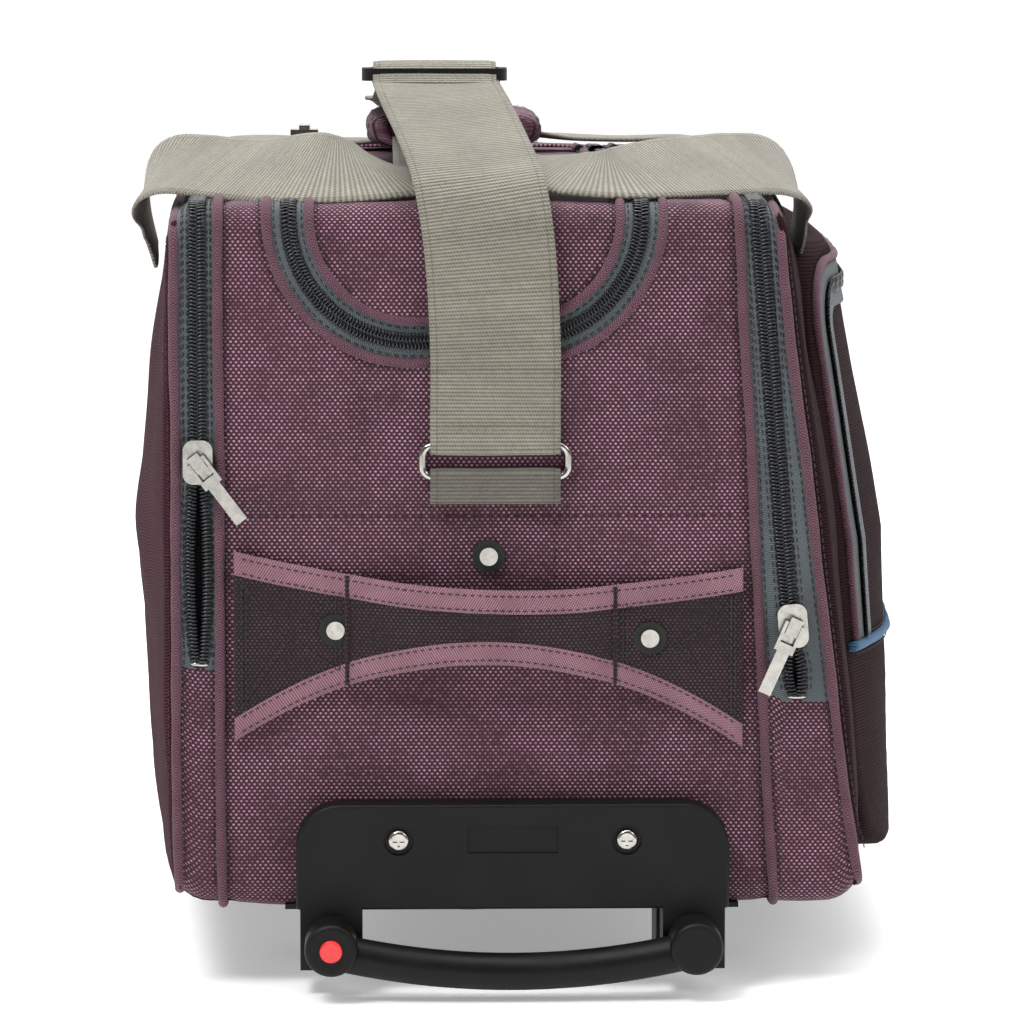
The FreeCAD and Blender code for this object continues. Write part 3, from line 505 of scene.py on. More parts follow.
def smooth_curve(points, count):
    """count points evenly spaced by length on a Catmull-Rom curve through points."""
    p = np.asarray(points, float)
    p = np.concatenate([2 * p[:1] - p[1:2], p, 2 * p[-1:] - p[-2:-1]])
    out = []
    for i in range(1, len(p) - 2):
        for t in np.linspace(0, 1, 16, endpoint=False):
            a, b, c, d = p[i - 1], p[i], p[i + 1], p[i + 2]
            out.append(0.5 * ((2 * b) + (c - a) * t + (2 * a - 5 * b + 4 * c - d) * t * t
                              + (3 * b - a - 3 * c + d) * t ** 3))
    out.append(p[-2])
    out = np.array(out)
    step = np.linalg.norm(np.diff(out[:, :3], axis=0), axis=1)
    run = np.concatenate([[0], np.cumsum(step)])
    want = np.linspace(0, run[-1], count)
    return np.stack([np.interp(want, run, out[:, k]) for k in range(out.shape[1])], axis=1)


# ------------------------------------------------------------------ the bag's skin
# The skin over the far end, top and near end is unrolled: x across, and s down from the
# near top edge (negative over the top, where -2 * half_length is the far top edge).
full_height = top_z - floor_z
full_length = 2 * half_length


def smooth_noise(x, y, scale, seed):
    """Cheap smooth noise in -1..1, the same every run: a sum of slanted sines."""
    rng = random.Random(seed)
    total = np.zeros(np.broadcast(x, y).shape)
    for _ in range(7):
        angle = rng.uniform(0, math.pi)
        wave = (math.cos(angle) * x + math.sin(angle) * y) * 2 * math.pi / scale
        total = total + np.sin(wave * rng.uniform(0.6, 1.7) + rng.uniform(0, 6.3))
    return total / 4.0


def swell(y):
    """0 at the ends of the bag and 1 at mid length."""
    share = (np.asarray(y, float) - mid_y) / half_length
    return 1 - np.clip(share * share, 0, 1)


def crown_at(y):
    return crown * swell(y)


def corner_drop(inward):
    """How far the surface falls away within the long edges' rounding."""
    d = np.clip(inward, 0.0, edge_round)
    return edge_round - np.sqrt(np.maximum(edge_round ** 2 - (edge_round - d) ** 2, 0))


def top_at(x, y):
    """Height of the cloth on top of the bag."""
    left = side_left_high - 0.15 * side_bulge * swell(y)
    right = side_right_high + 0.4 * side_bulge * swell(y)
    return top_z + crown_at(y) - corner_drop(x - left) - corner_drop(right - x)


def base_at(x, y):
    """Height of the cloth under the bag."""
    left = side_left_low - 0.6 * side_bulge * swell(y)
    right = side_right_low + 0.3 * side_bulge * swell(y)
    return floor_z + corner_drop(x - left) + corner_drop(right - x)


def skin(x, s, lift=0.0, end_turn=None):
    """Point on the unrolled skin, raised by lift along its normal."""
    x, s, lift = np.broadcast_arrays(np.asarray(x, float), np.asarray(s, float),
                                     np.asarray(lift, float))
    r = end_round if end_turn is None else end_turn
    mirror = s < -half_length
    d = np.where(mirror, -full_length - s, s)
    end_top = top_at(x, near_y)
    end_base = base_at(x, near_y)
    phi = (np.clip(d, -r, r) + r) / (2 * r) * math.pi / 2
    psi = (np.clip(d - full_height, -r, r) + r) / (2 * r) * math.pi / 2
    down = np.clip((d - r) / (full_height - 2 * r), 0, 1)
    on_top = d < -r
    under = d > full_height + r
    face_z = end_top - r + (end_base - end_top + 2 * r) * down
    y = np.where(on_top, -d, r - r * np.sin(phi))
    y = np.where(d > full_height - r, r - r * np.cos(psi), y)
    y = np.where(under, d - full_height, y)
    shift = np.where(on_top, top_at(x, near_y + y) - end_top, 0.0)
    z = np.where(d < r, end_top - r + r * np.cos(phi) + shift, face_z)
    z = np.where(d > full_height - r, end_base + r - r * np.sin(psi), z)
    z = np.where(under, base_at(x, near_y + y), z)
    ny = np.where(d < full_height - r, -np.sin(phi), -np.cos(psi))
    nz = np.where(d < full_height - r, np.cos(phi), -np.sin(psi))
    y = y + ny * lift
    z = z + nz * lift
    y = np.where(mirror, full_length - y, y)
    return np.stack([x, near_y + y, z], axis=-1)


def skin_z(s):
    """Height of the unrolled skin at s, for seams that lean."""
    return np.clip(skin(np.zeros_like(np.asarray(s, float)), s)[..., 2], floor_z, top_z)


snap_x = (low("grab_washers").x + high("grab_washers").x) / 2
washer_radius = 6.3 * MM
snap_z = high("grab_washers").z - washer_radius


def panel_lift(x, s):
    """Soft fullness and creases of the main cloth; small under the fittings."""
    z = skin_z(s)
    left = seam_left_inner(z)
    right = seam_right_inner(z)
    u = np.clip((x - left) / (right - left), 0, 1)
    pillow = 4 * u * (1 - u)
    creases = 0.55 * smooth_noise(x, s, 0.11, 3) + 0.3 * smooth_noise(x * 1.6, s * 0.5, 0.05, 8)
    edge = np.clip(np.minimum(u, 1 - u) / 0.12, 0, 1)
    lift = (2.0 * pillow + 1.5 * creases * edge) * MM
    near = (s > 0) & (s < full_height)
    calm = np.ones_like(lift)
    grab_zone = np.exp(-((z - 0.134) / 0.035) ** 4)
    low_zone = 1 / (1 + np.exp((z - 0.086) / 0.006))
    from_snap = np.hypot(x - snap_x, z - snap_z) / (15 * MM)
    snap_zone = np.exp(-from_snap ** 4)
    calm = np.where(near, np.clip(1 - 0.8 * grab_zone - low_zone - snap_zone, 0.0, 1), calm)

    def hump(value, centre, width):
        return np.exp(-((value - centre) / width) ** 2)

    fold = hump(x, -0.068 + (0.29 - z) * 0.12, 0.006) * hump(z, 0.235, 0.03)
    fold2 = hump(x, 0.062 + (z - 0.24) * 0.5, 0.007) * hump(z, 0.225, 0.035)
    fold3 = hump(x, 0.028, 0.005) * hump(z, 0.21, 0.03)
    lift = lift + np.where(near, (-2.6 * fold - 2.4 * fold2 - 1.6 * fold3) * MM, 0)
    stitched = np.exp(-((z - 0.1865) / 0.0045) ** 2) * 1.1 * MM
    lift = lift - np.where(near, stitched, 0)
    from_seam = np.minimum(x - left, right - x)
    return lift * calm - 1.1 * MM * np.exp(-(from_seam / (4 * MM)) ** 2)


def u_path(inset, count_side=120, count_arc=26, count_low=14):
    """(x, s) along the lid's U, from the far left end to the far right end."""
    c = lid_corner - inset
    left = lid_left + inset
    right = lid_right - inset
    bottom_s = top_z - (lid_low + inset)
    start_s = near_y - lid_hinge_y
    arc_s = bottom_s - c
    side = np.linspace(start_s, arc_s, count_side)
    a = np.linspace(0, math.pi / 2, count_arc)
    xs = [np.full(count_side, left), left + c - c * np.cos(a[1:]),
          np.linspace(left + c, right - c, count_low)[1:],
          right - c + c * np.sin(a[1:]), np.full(count_side - 1, right)]
    ss = [side, arc_s + c * np.sin(a[1:]), np.full(count_low - 1, bottom_s),
          arc_s + c * np.cos(a[1:]), side[::-1][1:]]
    return np.concatenate(xs), np.concatenate(ss)


# ------------------------------------------------------------------ stitches
def stitch_mesh(points, normals, length=2.3 * MM, gap=0.9 * MM, radius=0.28 * MM, sink=0.1 * MM):
    """A row of small raised stitches along a polyline that has a normal at each point."""
    points = np.asarray(points, float)
    normals = np.asarray(normals, float)
    run = run_along(points)
    count = max(int(run[-1] / (length + gap)), 1)
    starts = np.arange(count) * (length + gap) + gap / 2
    rings = np.array([0.0, 0.2, 0.5, 0.8, 1.0])
    widths = np.array([0.25, 0.9, 1.0, 0.9, 0.25]) * radius
    rises = np.array([-0.4, 0.5, 0.9, 0.5, -0.4]) * radius - sink
    segs = 5
    verts, faces = [], []
    for start in starts:
        at = start + rings * length
        place = sampled(at, run, points)
        normal = sampled(at, run, normals)
        along = place[-1] - place[0]
        along /= max(np.linalg.norm(along), 1e-9)
        side = np.cross(along, normal)
        base = len(verts) * segs
        angle = np.linspace(0, 2 * math.pi, segs, endpoint=False)
        for i in range(5):
            centre = place[i] + normal[i] * rises[i]
            verts.append(centre + widths[i] * (np.cos(angle)[:, None] * side[i]
                                               + np.sin(angle)[:, None] * normal[i] * 0.8))
        for i in range(4):
            for k in range(segs):
                m = (k + 1) % segs
                a = base + i * segs
                faces.append((a + k, a + segs + k, a + segs + m, a + m))
        faces.append(tuple(base + k for k in range(segs)))
        faces.append(tuple(base + 4 * segs + k for k in reversed(range(segs))))
    verts = np.concatenate(verts)
    return verts, faces, verts[:, :2].copy()


def skin_row(x, s, lift=0.0, **size):
    """Stitches along an unrolled path."""
    points = skin(x, s, lift)
    normals = skin(x, s, lift + MM) - points
    normals /= np.linalg.norm(normals, axis=1, keepdims=True)
    return stitch_mesh(points, normals, **size)


# ------------------------------------------------------------------ main cloth
fold_under = 7 * MM
s_low = full_height + fold_under
hinge_s = near_y - lid_hinge_y
far_top_s = -full_length
far_low_s = -full_length - full_height


def cloth_grid(first, second, s_values, columns, lift, snap=None):
    """A strip of the skin between two seams, as a thickness-less grid of points and UVs."""
    z = skin_z(s_values)
    u = np.linspace(0, 1, columns)
    x = first(z)[None, :] + (second(z) - first(z))[None, :] * u[:, None]
    s = np.broadcast_to(s_values[None, :], x.shape).copy()
    if snap is not None:
        x, s = snap(x, s)
    return skin(x, s, lift(x, s)), np.stack([x, s], axis=-1), x, s


def masked_cloth(name, points, uv, mask, material, body, thickness=1.2 * MM):
    """A cloth with a backing from the cells of a grid where mask is true."""
    nu, nv, _ = points.shape
    normal = -grid_normals(points)
    if normal[nu // 2, nv // 2] @ (points[nu // 2, nv // 2] - np.array([0, mid_y, mid_z])) < 0:
        normal = -normal
    verts = np.concatenate([points.reshape(-1, 3), (points - normal * thickness).reshape(-1, 3)])
    uvs = np.concatenate([uv.reshape(-1, 2), uv.reshape(-1, 2)])
    back = nu * nv
    faces = []
    index = np.arange(nu * nv).reshape(nu, nv)
    padded = np.zeros((nu + 1, nv + 1), bool)
    padded[1:nu, 1:nv] = mask
    for i in range(nu - 1):
        for j in range(nv - 1):
            if not mask[i, j]:
                continue
            a, b, c, d = index[i, j], index[i + 1, j], index[i + 1, j + 1], index[i, j + 1]
            faces.append((d, c, b, a))
            faces.append((back + a, back + b, back + c, back + d))
            if not padded[i + 1, j]:
                faces.append((a, b, back + b, back + a))
            if not padded[i + 1, j + 2]:
                faces.append((c, d, back + d, back + c))
            if not padded[i, j + 1]:
                faces.append((d, a, back + a, back + d))
            if not padded[i + 2, j + 1]:
                faces.append((b, c, back + c, back + b))
    used = np.zeros(len(verts), bool)
    for face in faces:
        used[list(face)] = True
    order = np.cumsum(used) - 1
    faces = [tuple(int(order[k]) for k in face) for face in faces]
    return add_mesh(name, verts[used], faces, uvs[used], material, body)


def inside_lid(x, s, inset):
    """True inside the U outline set in by inset."""
    c = lid_corner - inset
    z = top_z - s
    left, right, bottom = lid_left + inset, lid_right - inset, lid_low + inset
    inside = (x > left) & (x < right) & (z > bottom) & (s > hinge_s)
    in_left = (x < left + c) & (z < bottom + c)
    in_right = (x > right - c) & (z < bottom + c)
    far_left = (x - left - c) ** 2 + (z - bottom - c) ** 2 > c * c
    far_right = (x - right + c) ** 2 + (z - bottom - c) ** 2 > c * c
    return inside & ~(in_left & far_left) & ~(in_right & far_right)


def snapped_to_lid(x, s, inset, reach=2.2 * MM):
    """Pulls grid points that lie close to the U outline onto it."""
    ux, us = u_path(inset, 300, 90, 60)
    flat = np.stack([x.ravel(), s.ravel()], axis=1)
    near_rows = (np.abs(flat[:, 0] - lid_left - inset) < 60 * MM) | (flat[:, 1] > -0.02) | (
        np.abs(flat[:, 0] - lid_right + inset) < 60 * MM)
    path = np.stack([ux, us], axis=1)
    picked = np.nonzero(near_rows & (flat[:, 1] > hinge_s - 4 * MM) & (flat[:, 1] < 0.09))[0]
    for start in range(0, len(picked), 2000):
        rows = picked[start:start + 2000]
        gap = np.linalg.norm(flat[rows, None, :] - path[None, :, :], axis=2)
        best = gap.argmin(axis=1)
        close = gap[np.arange(len(rows)), best] < reach
        flat[rows[close]] = path[best[close]]
    return flat[:, 0].reshape(x.shape), flat[:, 1].reshape(s.shape)


def graded(start, stop, step):
    return np.linspace(start, stop, max(int(abs(stop - start) / step) + 1, 2))


def main_rows():
    rows = [graded(s_low, 30 * MM, 2.2 * MM), graded(30 * MM, -20 * MM, 2.0 * MM)[1:],
            graded(-20 * MM, hinge_s, 4 * MM)[1:], graded(hinge_s, far_top_s + 15 * MM, 4 * MM)[1:],
            graded(far_top_s + 15 * MM, far_top_s - 15 * MM, 2 * MM)[1:],
            graded(far_top_s - 15 * MM, far_low_s - fold_under, 4 * MM)[1:]]
    return np.concatenate(rows)


def make_main_cloth():
    rows = main_rows()
    half = 1.0 * MM
    points, uv, x, s = cloth_grid(lambda z: seam_left_inner(z) - half,
                                  lambda z: seam_right_inner(z) + half, rows, 118, panel_lift,
                                  snap=lambda a, b: snapped_to_lid(a, b, 0.0))
    mid_x = (x[:-1, :-1] + x[1:, 1:] + x[:-1, 1:] + x[1:, :-1]) / 4
    mid_s = (s[:-1, :-1] + s[1:, 1:] + s[:-1, 1:] + s[1:, :-1]) / 4
    open_lid = inside_lid(mid_x, mid_s, 0.0)
    p = (points[:-1, :-1] + points[1:, 1:]) / 2
    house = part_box("wheel_housings")
    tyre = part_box("tyre_left")
    notch = (p[..., 1] > house[0].y + 2 * MM) & (p[..., 2] < house[1].z)
    inner_edge = abs(tyre[1].x - handle_x) - 8 * MM
    notch &= np.abs(p[..., 0] - handle_x) > inner_edge
    cloth_piece = masked_cloth("main_cloth", points, uv, ~open_lid & ~notch, "heather", "bag")
    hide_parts("end_panel_near", "end_panel_far", "top_panel")
    return cloth_piece


def make_lid_cloth():
    inset = lid_zip_width
    first = hinge_s - 12 * MM
    rows = np.concatenate([graded(top_z - lid_low + 2 * MM, -20 * MM, 2.0 * MM),
                           graded(-20 * MM, first, 4 * MM)[1:]])
    left, right = lid_left + inset, lid_right - inset
    x = np.linspace(left, right, 62)[:, None] + 0 * rows[None, :]
    s = 0 * x + rows[None, :]
    x, s = snapped_to_lid(x, s, inset, 1.8 * MM)
    points = skin(x, s, lid_lift(x, s))
    uv = np.stack([x, s], axis=-1)
    mid_x = (x[:-1, :-1] + x[1:, 1:] + x[:-1, 1:] + x[1:, :-1]) / 4
    mid_s = (s[:-1, :-1] + s[1:, 1:] + s[:-1, 1:] + s[1:, :-1]) / 4
    mask = inside_lid(mid_x, mid_s, inset) | (mid_s <= hinge_s)
    piece = masked_cloth("lid_cloth", points, uv, mask, "heather", None)
    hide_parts("lid_panel")
    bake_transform(piece)
    return piece


def lid_lift(x, s):
    left = lid_left + lid_zip_width
    right = lid_right - lid_zip_width
    u = np.clip((x - left) / (right - left), 0, 1)
    pillow = 4 * u * (1 - u)
    waves = 0.7 * smooth_noise(x, s, 0.09, 21) + 0.35 * smooth_noise(x, s, 0.04, 22)
    edge = np.clip(np.minimum(u, 1 - u) / 0.1, 0, 1)
    calm = np.clip((s - (hinge_s - 12 * MM)) / (30 * MM), 0, 1)
    return ((1.5 * pillow + 0.9 * waves * edge) * calm) * MM


# ------------------------------------------------------------------ gussets, tapes, coils
def band_rows(start, stop, step=2.6 * MM):
    return graded(start, stop, step)


def zip_gap(side, z):
    """Half the opening of a zip below its slider."""
    if side == "left":
        top, bottom, width = low("zip_slider_left").z + 4 * MM, low("zip_tape_left").z, 1.9 * MM
    elif side == "right":
        top, bottom, width = low("zip_slider_right").z + 4 * MM, low("zip_tape_right").z, 1.0 * MM
    else:
        return 0 * z
    share = np.clip((z - bottom) / (top - bottom), 0, 1)
    return width * np.sin(share * math.pi) ** 0.8


def tooth_helix(centre, across, normal, side_sign, pitch=1.4 * MM, reach=1.9 * MM,
                rise=0.55 * MM, wire=0.36 * MM, offset=0.0, overlap=0.45 * MM):
    """One half of a coil zip: a flattened helix beside the centre line."""
    run = run_along(centre)
    turns = int(run[-1] / pitch)
    per_turn = 8
    theta = np.linspace(0, turns * 2 * math.pi, turns * per_turn + 1)
    at = theta / (2 * math.pi) * pitch + offset * pitch
    at = np.clip(at, 0, run[-1])

    def pick(a):
        return sampled(at, run, a)

    mid, side, up = pick(centre), pick(across), pick(normal)
    middle = side_sign * (reach - overlap)
    out = (middle + np.cos(theta) * reach * side_sign * -1)[:, None]
    path = mid + side * out + up * (rise * np.sin(theta) + rise)[:, None]
    return tube_mesh(path, wire, 5, up_hint=up[0])


def zip_line_frames(x, s, lift):
    centre = skin(x, s, lift)
    up = skin(x, s, lift + MM) - centre
    up /= np.linalg.norm(up, axis=1, keepdims=True)
    along = np.gradient(centre, axis=0)
    along /= np.linalg.norm(along, axis=1, keepdims=True)
    across = np.cross(up, along)
    across /= np.linalg.norm(across, axis=1, keepdims=True)
    return centre, across, up


def make_side_zip(side, outer, inner, line):
    """One gusset: its cloth, tapes, stitches, coil and the stop at its lower end."""
    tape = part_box("zip_tape_" + side)
    z_low = tape[0].z
    s_bottom = top_z - z_low
    s_end = near_y - tape[1].y
    base_low = far_low_s - fold_under
    strip_rows = {"low": band_rows(full_height + 60 * MM, s_bottom),
                  "far": band_rows(s_end, base_low, 3 * MM)}
    for label, rows in strip_rows.items():
        points, uv, x, s = cloth_grid(outer, inner, rows, 14, lambda x, s: gusset_lift(side, x, s))
        p = (points[:-1, :-1] + points[1:, 1:]) / 2
        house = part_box("wheel_housings")
        mask = ~((p[..., 1] > house[0].y + 2 * MM) & (p[..., 2] < house[1].z))
        piece = masked_cloth("gusset_%s_%s" % (side, label), points, uv, mask, "heather", "bag", MM)
        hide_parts("gusset_" + side)
    for label, edge in (("a", outer), ("b", inner)):
        rows = np.concatenate([band_rows(s_bottom + 3 * MM, -20 * MM, 2.2 * MM),
                               band_rows(-20 * MM, s_end - 3 * MM, 4 * MM)[1:]])

        def tape_edge(z, edge=edge):
            toward = np.sign(edge(z) - line(z))
            return line(z) + toward * (1.9 * MM + zip_gap(side, z))

        points, uv, x, s = cloth_grid(edge, tape_edge, rows, 8, lambda x, s: 0.35 * MM + 0 * x)
        mask = np.ones((x.shape[0] - 1, x.shape[1] - 1), bool)
        piece = masked_cloth("tape_%s_%s" % (side, label), points, uv[..., ::-1], mask, "zip_tape",
                             "bag", 0.8 * MM)
        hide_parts("zip_tape_" + side)
        row_s = rows[2:-2]
        z = skin_z(row_s)
        toward = np.sign(edge(z) - line(z))
        stitches = []
        for away in (3.9 * MM, 5.3 * MM):
            row_x = line(z) + toward * (away + zip_gap(side, z))
            stitches.append(skin_row(row_x, row_s, 0.45 * MM))
        joined("tape_stitches_%s_%s" % (side, label), stitches, "thread_dark", "bag")
    halves = []
    for sign_side, offset in ((1, 0.0), (-1, 0.5)):
        rows = np.linspace(s_bottom, s_end, 700)
        z = skin_z(rows)
        x = line(z) + sign_side * zip_gap(side, z)
        centre, across, up = zip_line_frames(x, rows, 0.5 * MM)
        if across[0, 0] < 0:
            across = -across
        halves.append(tooth_helix(centre, across, up, sign_side, offset=offset))
    coil = joined("coil_teeth_" + side, halves, "coil", "bag")
    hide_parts("zip_coils_" + side)
    rows = band_rows(s_bottom + 2 * MM, s_end, 6 * MM)
    # Painted shade: a near-black strip under the coil stands in for the shaded inside seen through
    # the zip's gap.
    shade_strip_half = 3.6 * MM
    points, uv, x, s = cloth_grid(lambda z: line(z) - shade_strip_half, lambda z: line(z) + shade_strip_half,
                                  rows, 3, lambda x, s: -1.8 * MM + 0 * x)
    masked_cloth("zip_painted_shade_" + side, points, uv, np.ones((2, len(rows) - 1), bool), "painted_shade_inside",
                 "bag", 0.6 * MM)
    z = skin_z(np.array([s_bottom + 1 * MM]))
    stop_x = np.array([line(z[0]) - 3.4 * MM, line(z[0]) + 3.4 * MM])
    stop = skin(stop_x, np.full(2, s_bottom + MM), 0.7 * MM)
    tube("zip_stop_" + side, np.linspace(stop[0], stop[1], 4), 0.9 * MM, "nickel", "bag", 8)


def gusset_lift(side, x, s):
    return (0.4 + 0.5 * smooth_noise(x, s, 0.05, 31 if side == "left" else 32)) * MM


# ------------------------------------------------------------------ pipings and the lid's zip
def cord_with_seam(name, path, material, body, radius=2.0 * MM):
    """A welt: a round cord under cloth, a little uneven along its length."""
    run = run_along(path)
    uneven = 1 + 0.05 * np.sin(run * 210) + 0.04 * np.sin(run * 97 + 1)
    return tube(name, path, radius * uneven, material, body, 10, up_hint=(1, 0, 0))


def make_pipings():
    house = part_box("wheel_housings")
    for side, seams in (("left", (("a", seam_left_outer), ("b", seam_left_inner))),
                        ("right", (("a", seam_right_outer), ("b", seam_right_inner)))):
        for label, line in seams:
            s = graded(full_height + full_length - 56 * MM, far_low_s - fold_under, 3 * MM)
            x = line(skin_z(s))
            wobble = 0.5 * MM * smooth_noise(s, 0 * s, 0.09, 41)
            if label == "a":
                wobble = wobble + (-0.9 if side == "left" else 0.9) * MM
            path = skin(x + wobble, s, 0.45 * MM)
            behind = (path[:, 1] > house[0].y) & (path[:, 2] < house[1].z)
            piece = cord_with_seam("piping_%s_%s" % (side, label), path[~behind], "piping", "bag")
            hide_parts("piping_" + side)
            grooves = []
            for away in (-2.9 * MM, 2.9 * MM):
                span = (s < full_height - 4 * MM) & ~behind
                row = skin_row((x + wobble + away)[span], s[span], 0.75 * MM)
                grooves.append(row)
            joined("seam_stitches_%s_%s" % (side, label), grooves, "thread", "bag")


def lid_ring(name, inset_a, inset_b, material, body, lift, columns=6, thickness=0.9 * MM,
             replaced=None):
    """A strip that follows the lid's U between two insets."""
    ax, as_ = u_path(inset_a)
    bx, bs = u_path(inset_b)
    share = np.linspace(0, 1, columns)[:, None]
    x = ax[None, :] * (1 - share) + bx[None, :] * share
    s = as_[None, :] * (1 - share) + bs[None, :] * share
    points = skin(x, s, lift)
    run = run_along(points[0])
    uv = np.stack([np.broadcast_to(run[None, :], x.shape), share * (inset_b - inset_a) + 0 * x],
                  axis=-1)
    mask = np.ones((columns - 1, x.shape[1] - 1), bool)
    piece = masked_cloth(name, points, uv, mask, material, body, thickness)
    if replaced:
        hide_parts(replaced)
    return piece


def lid_stitches(name, insets, body, lift, material="thread_dark"):
    rows = []
    for inset in insets:
        x, s = u_path(inset)
        rows.append(skin_row(x[1:-1], s[1:-1], lift))
    joined(name, rows, material, body)


def lid_coils():
    centre_inset = lid_tape + 3.5 * MM
    x, s = u_path(centre_inset, 400, 120, 60)
    centre, across, up = zip_line_frames(x, s, 0.6 * MM)
    outward = skin(*u_path(0.0, 400, 120, 60), 0.6 * MM) - centre
    flip = np.sign((across * outward).sum(axis=1, keepdims=True))
    across = across * np.where(flip == 0, 1, flip)
    for name, node, sign, offset, body in (
            ("lid_coil_body", "lid_zip_coil_body", 1, 0.0, "bag"),
            ("lid_coil_lid", "lid_zip_coil_lid", -1, 0.5, "lid")):
        mesh = tooth_helix(centre, across, up, sign, offset=offset, reach=1.75 * MM)
        piece = joined(name, [mesh], "coil", body)
        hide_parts(node)


def make_lid_zip():
    middle = lid_tape + 3.5 * MM
    lid_ring("lid_tape_body", 1.0 * MM, middle - 1.9 * MM, "zip_tape", "bag", 0.35 * MM,
             replaced="lid_zip_tape_body")
    lid_ring("lid_tape_lid", middle + 1.9 * MM, lid_zip_width - 1 * MM, "zip_tape", "lid",
             0.35 * MM,
             replaced="lid_zip_tape_lid")
    lid_stitches("lid_tape_stitches_body", (2.9 * MM, middle - 2.7 * MM), "bag", 0.5 * MM)
    lid_stitches("lid_tape_stitches_lid", (middle + 2.7 * MM, lid_zip_width - 3.0 * MM), "lid",
                 0.5 * MM)
    # Painted shade: near-black strips under the lid's coils stand in for the shaded inside seen
    # through the gap.
    lid_ring("lid_painted_shade_body", 0.5 * MM, middle - 0.2 * MM, "painted_shade_inside", "bag", -1.6 * MM, 3)
    lid_ring("lid_painted_shade_lid", middle + 0.2 * MM, lid_zip_width + 0.5 * MM, "painted_shade_inside", "lid",
             -1.6 * MM, 3)
    lid_coils()
    for name, node, inset, body in (("lid_welt_body", "lid_piping_body", 0.0, "bag"),
                                    ("lid_welt_lid", "lid_piping_lid", lid_zip_width, "lid")):
        x, s = u_path(inset)
        piece = cord_with_seam(name, skin(x, s, 0.6 * MM), "piping", body, 1.9 * MM)
        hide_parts(node)
    lid_stitches("lid_seam_body", (-3.0 * MM,), "bag", 0.9 * MM, "thread")
    lid_stitches("lid_seam_lid", (lid_zip_width + 3.0 * MM,), "lid", 0.9 * MM, "thread")


# ------------------------------------------------------------------ side panels
def rounded_polyline(points, radii, steps=8):
    """Polyline with its inner corners rounded by arcs of the given radii."""
    out = [np.asarray(points[0], float)]
    for i in range(1, len(points) - 1):
        p, q, r = (np.asarray(points[k], float) for k in (i - 1, i, i + 1))
        a, b = (p - q) / np.linalg.norm(p - q), (r - q) / np.linalg.norm(r - q)
        half = math.acos(max(-1, min(1, float(a @ b)))) / 2
        cut = min(radii[i] / math.tan(half), 0.45 * np.linalg.norm(p - q),
                  0.45 * np.linalg.norm(r - q))
        for t in np.linspace(0, 1, steps + 1):
            out.append((1 - t) ** 2 * (q + a * cut) + 2 * t * (1 - t) * q + t * t * (q + b * cut))
    out.append(np.asarray(points[-1], float))
    return np.array(out)


def side_outline(side, y, count):
    """(x, z) points around one side at y, from the seam under the bag to the one on top."""
    bulge = side_bulge * float(swell(y))
    full = side_fullness
    if side == "left":
        low_x, high_x = side_left_low - 0.6 * bulge, side_left_high - 0.15 * bulge
        mid_x = side_left_low - full - bulge
        seam_low, seam_high = seam_left_outer(floor_z), seam_left_outer(top_z)
    else:
        low_x, high_x = side_right_low + 0.3 * bulge, side_right_high + 0.4 * bulge
        mid_x = (side_right_low + side_right_high) / 2 + full + bulge
        seam_low, seam_high = seam_right_outer(floor_z), seam_right_outer(top_z)
    top = top_z + float(crown_at(y))
    inward = 0.03 if side == "left" else -0.03
    points = [(low_x + inward, floor_z), (low_x, floor_z), (mid_x, mid_z), (high_x, top),
              (high_x + inward, top)]
    line = rounded_polyline(points, [0, edge_round, 60 * MM, edge_round, 0], 10)
    sign = 1 if side == "left" else -1
    low_z = float(base_at(np.float64(seam_low), y))
    high_z = float(top_at(np.float64(seam_high), y))
    keep = (sign * line[:, 0] < sign * seam_low) | (line[:, 1] > mid_z)
    keep &= (sign * line[:, 0] < sign * seam_high) | (line[:, 1] < mid_z)
    line = np.concatenate([[(seam_low, low_z)], line[keep], [(seam_high, high_z)]])
    run = run_along(line)
    want = np.linspace(0, run[-1], count)
    x_z = np.stack([np.interp(want, run, line[:, 0]), np.interp(want, run, line[:, 1])], axis=1)
    return x_z, want


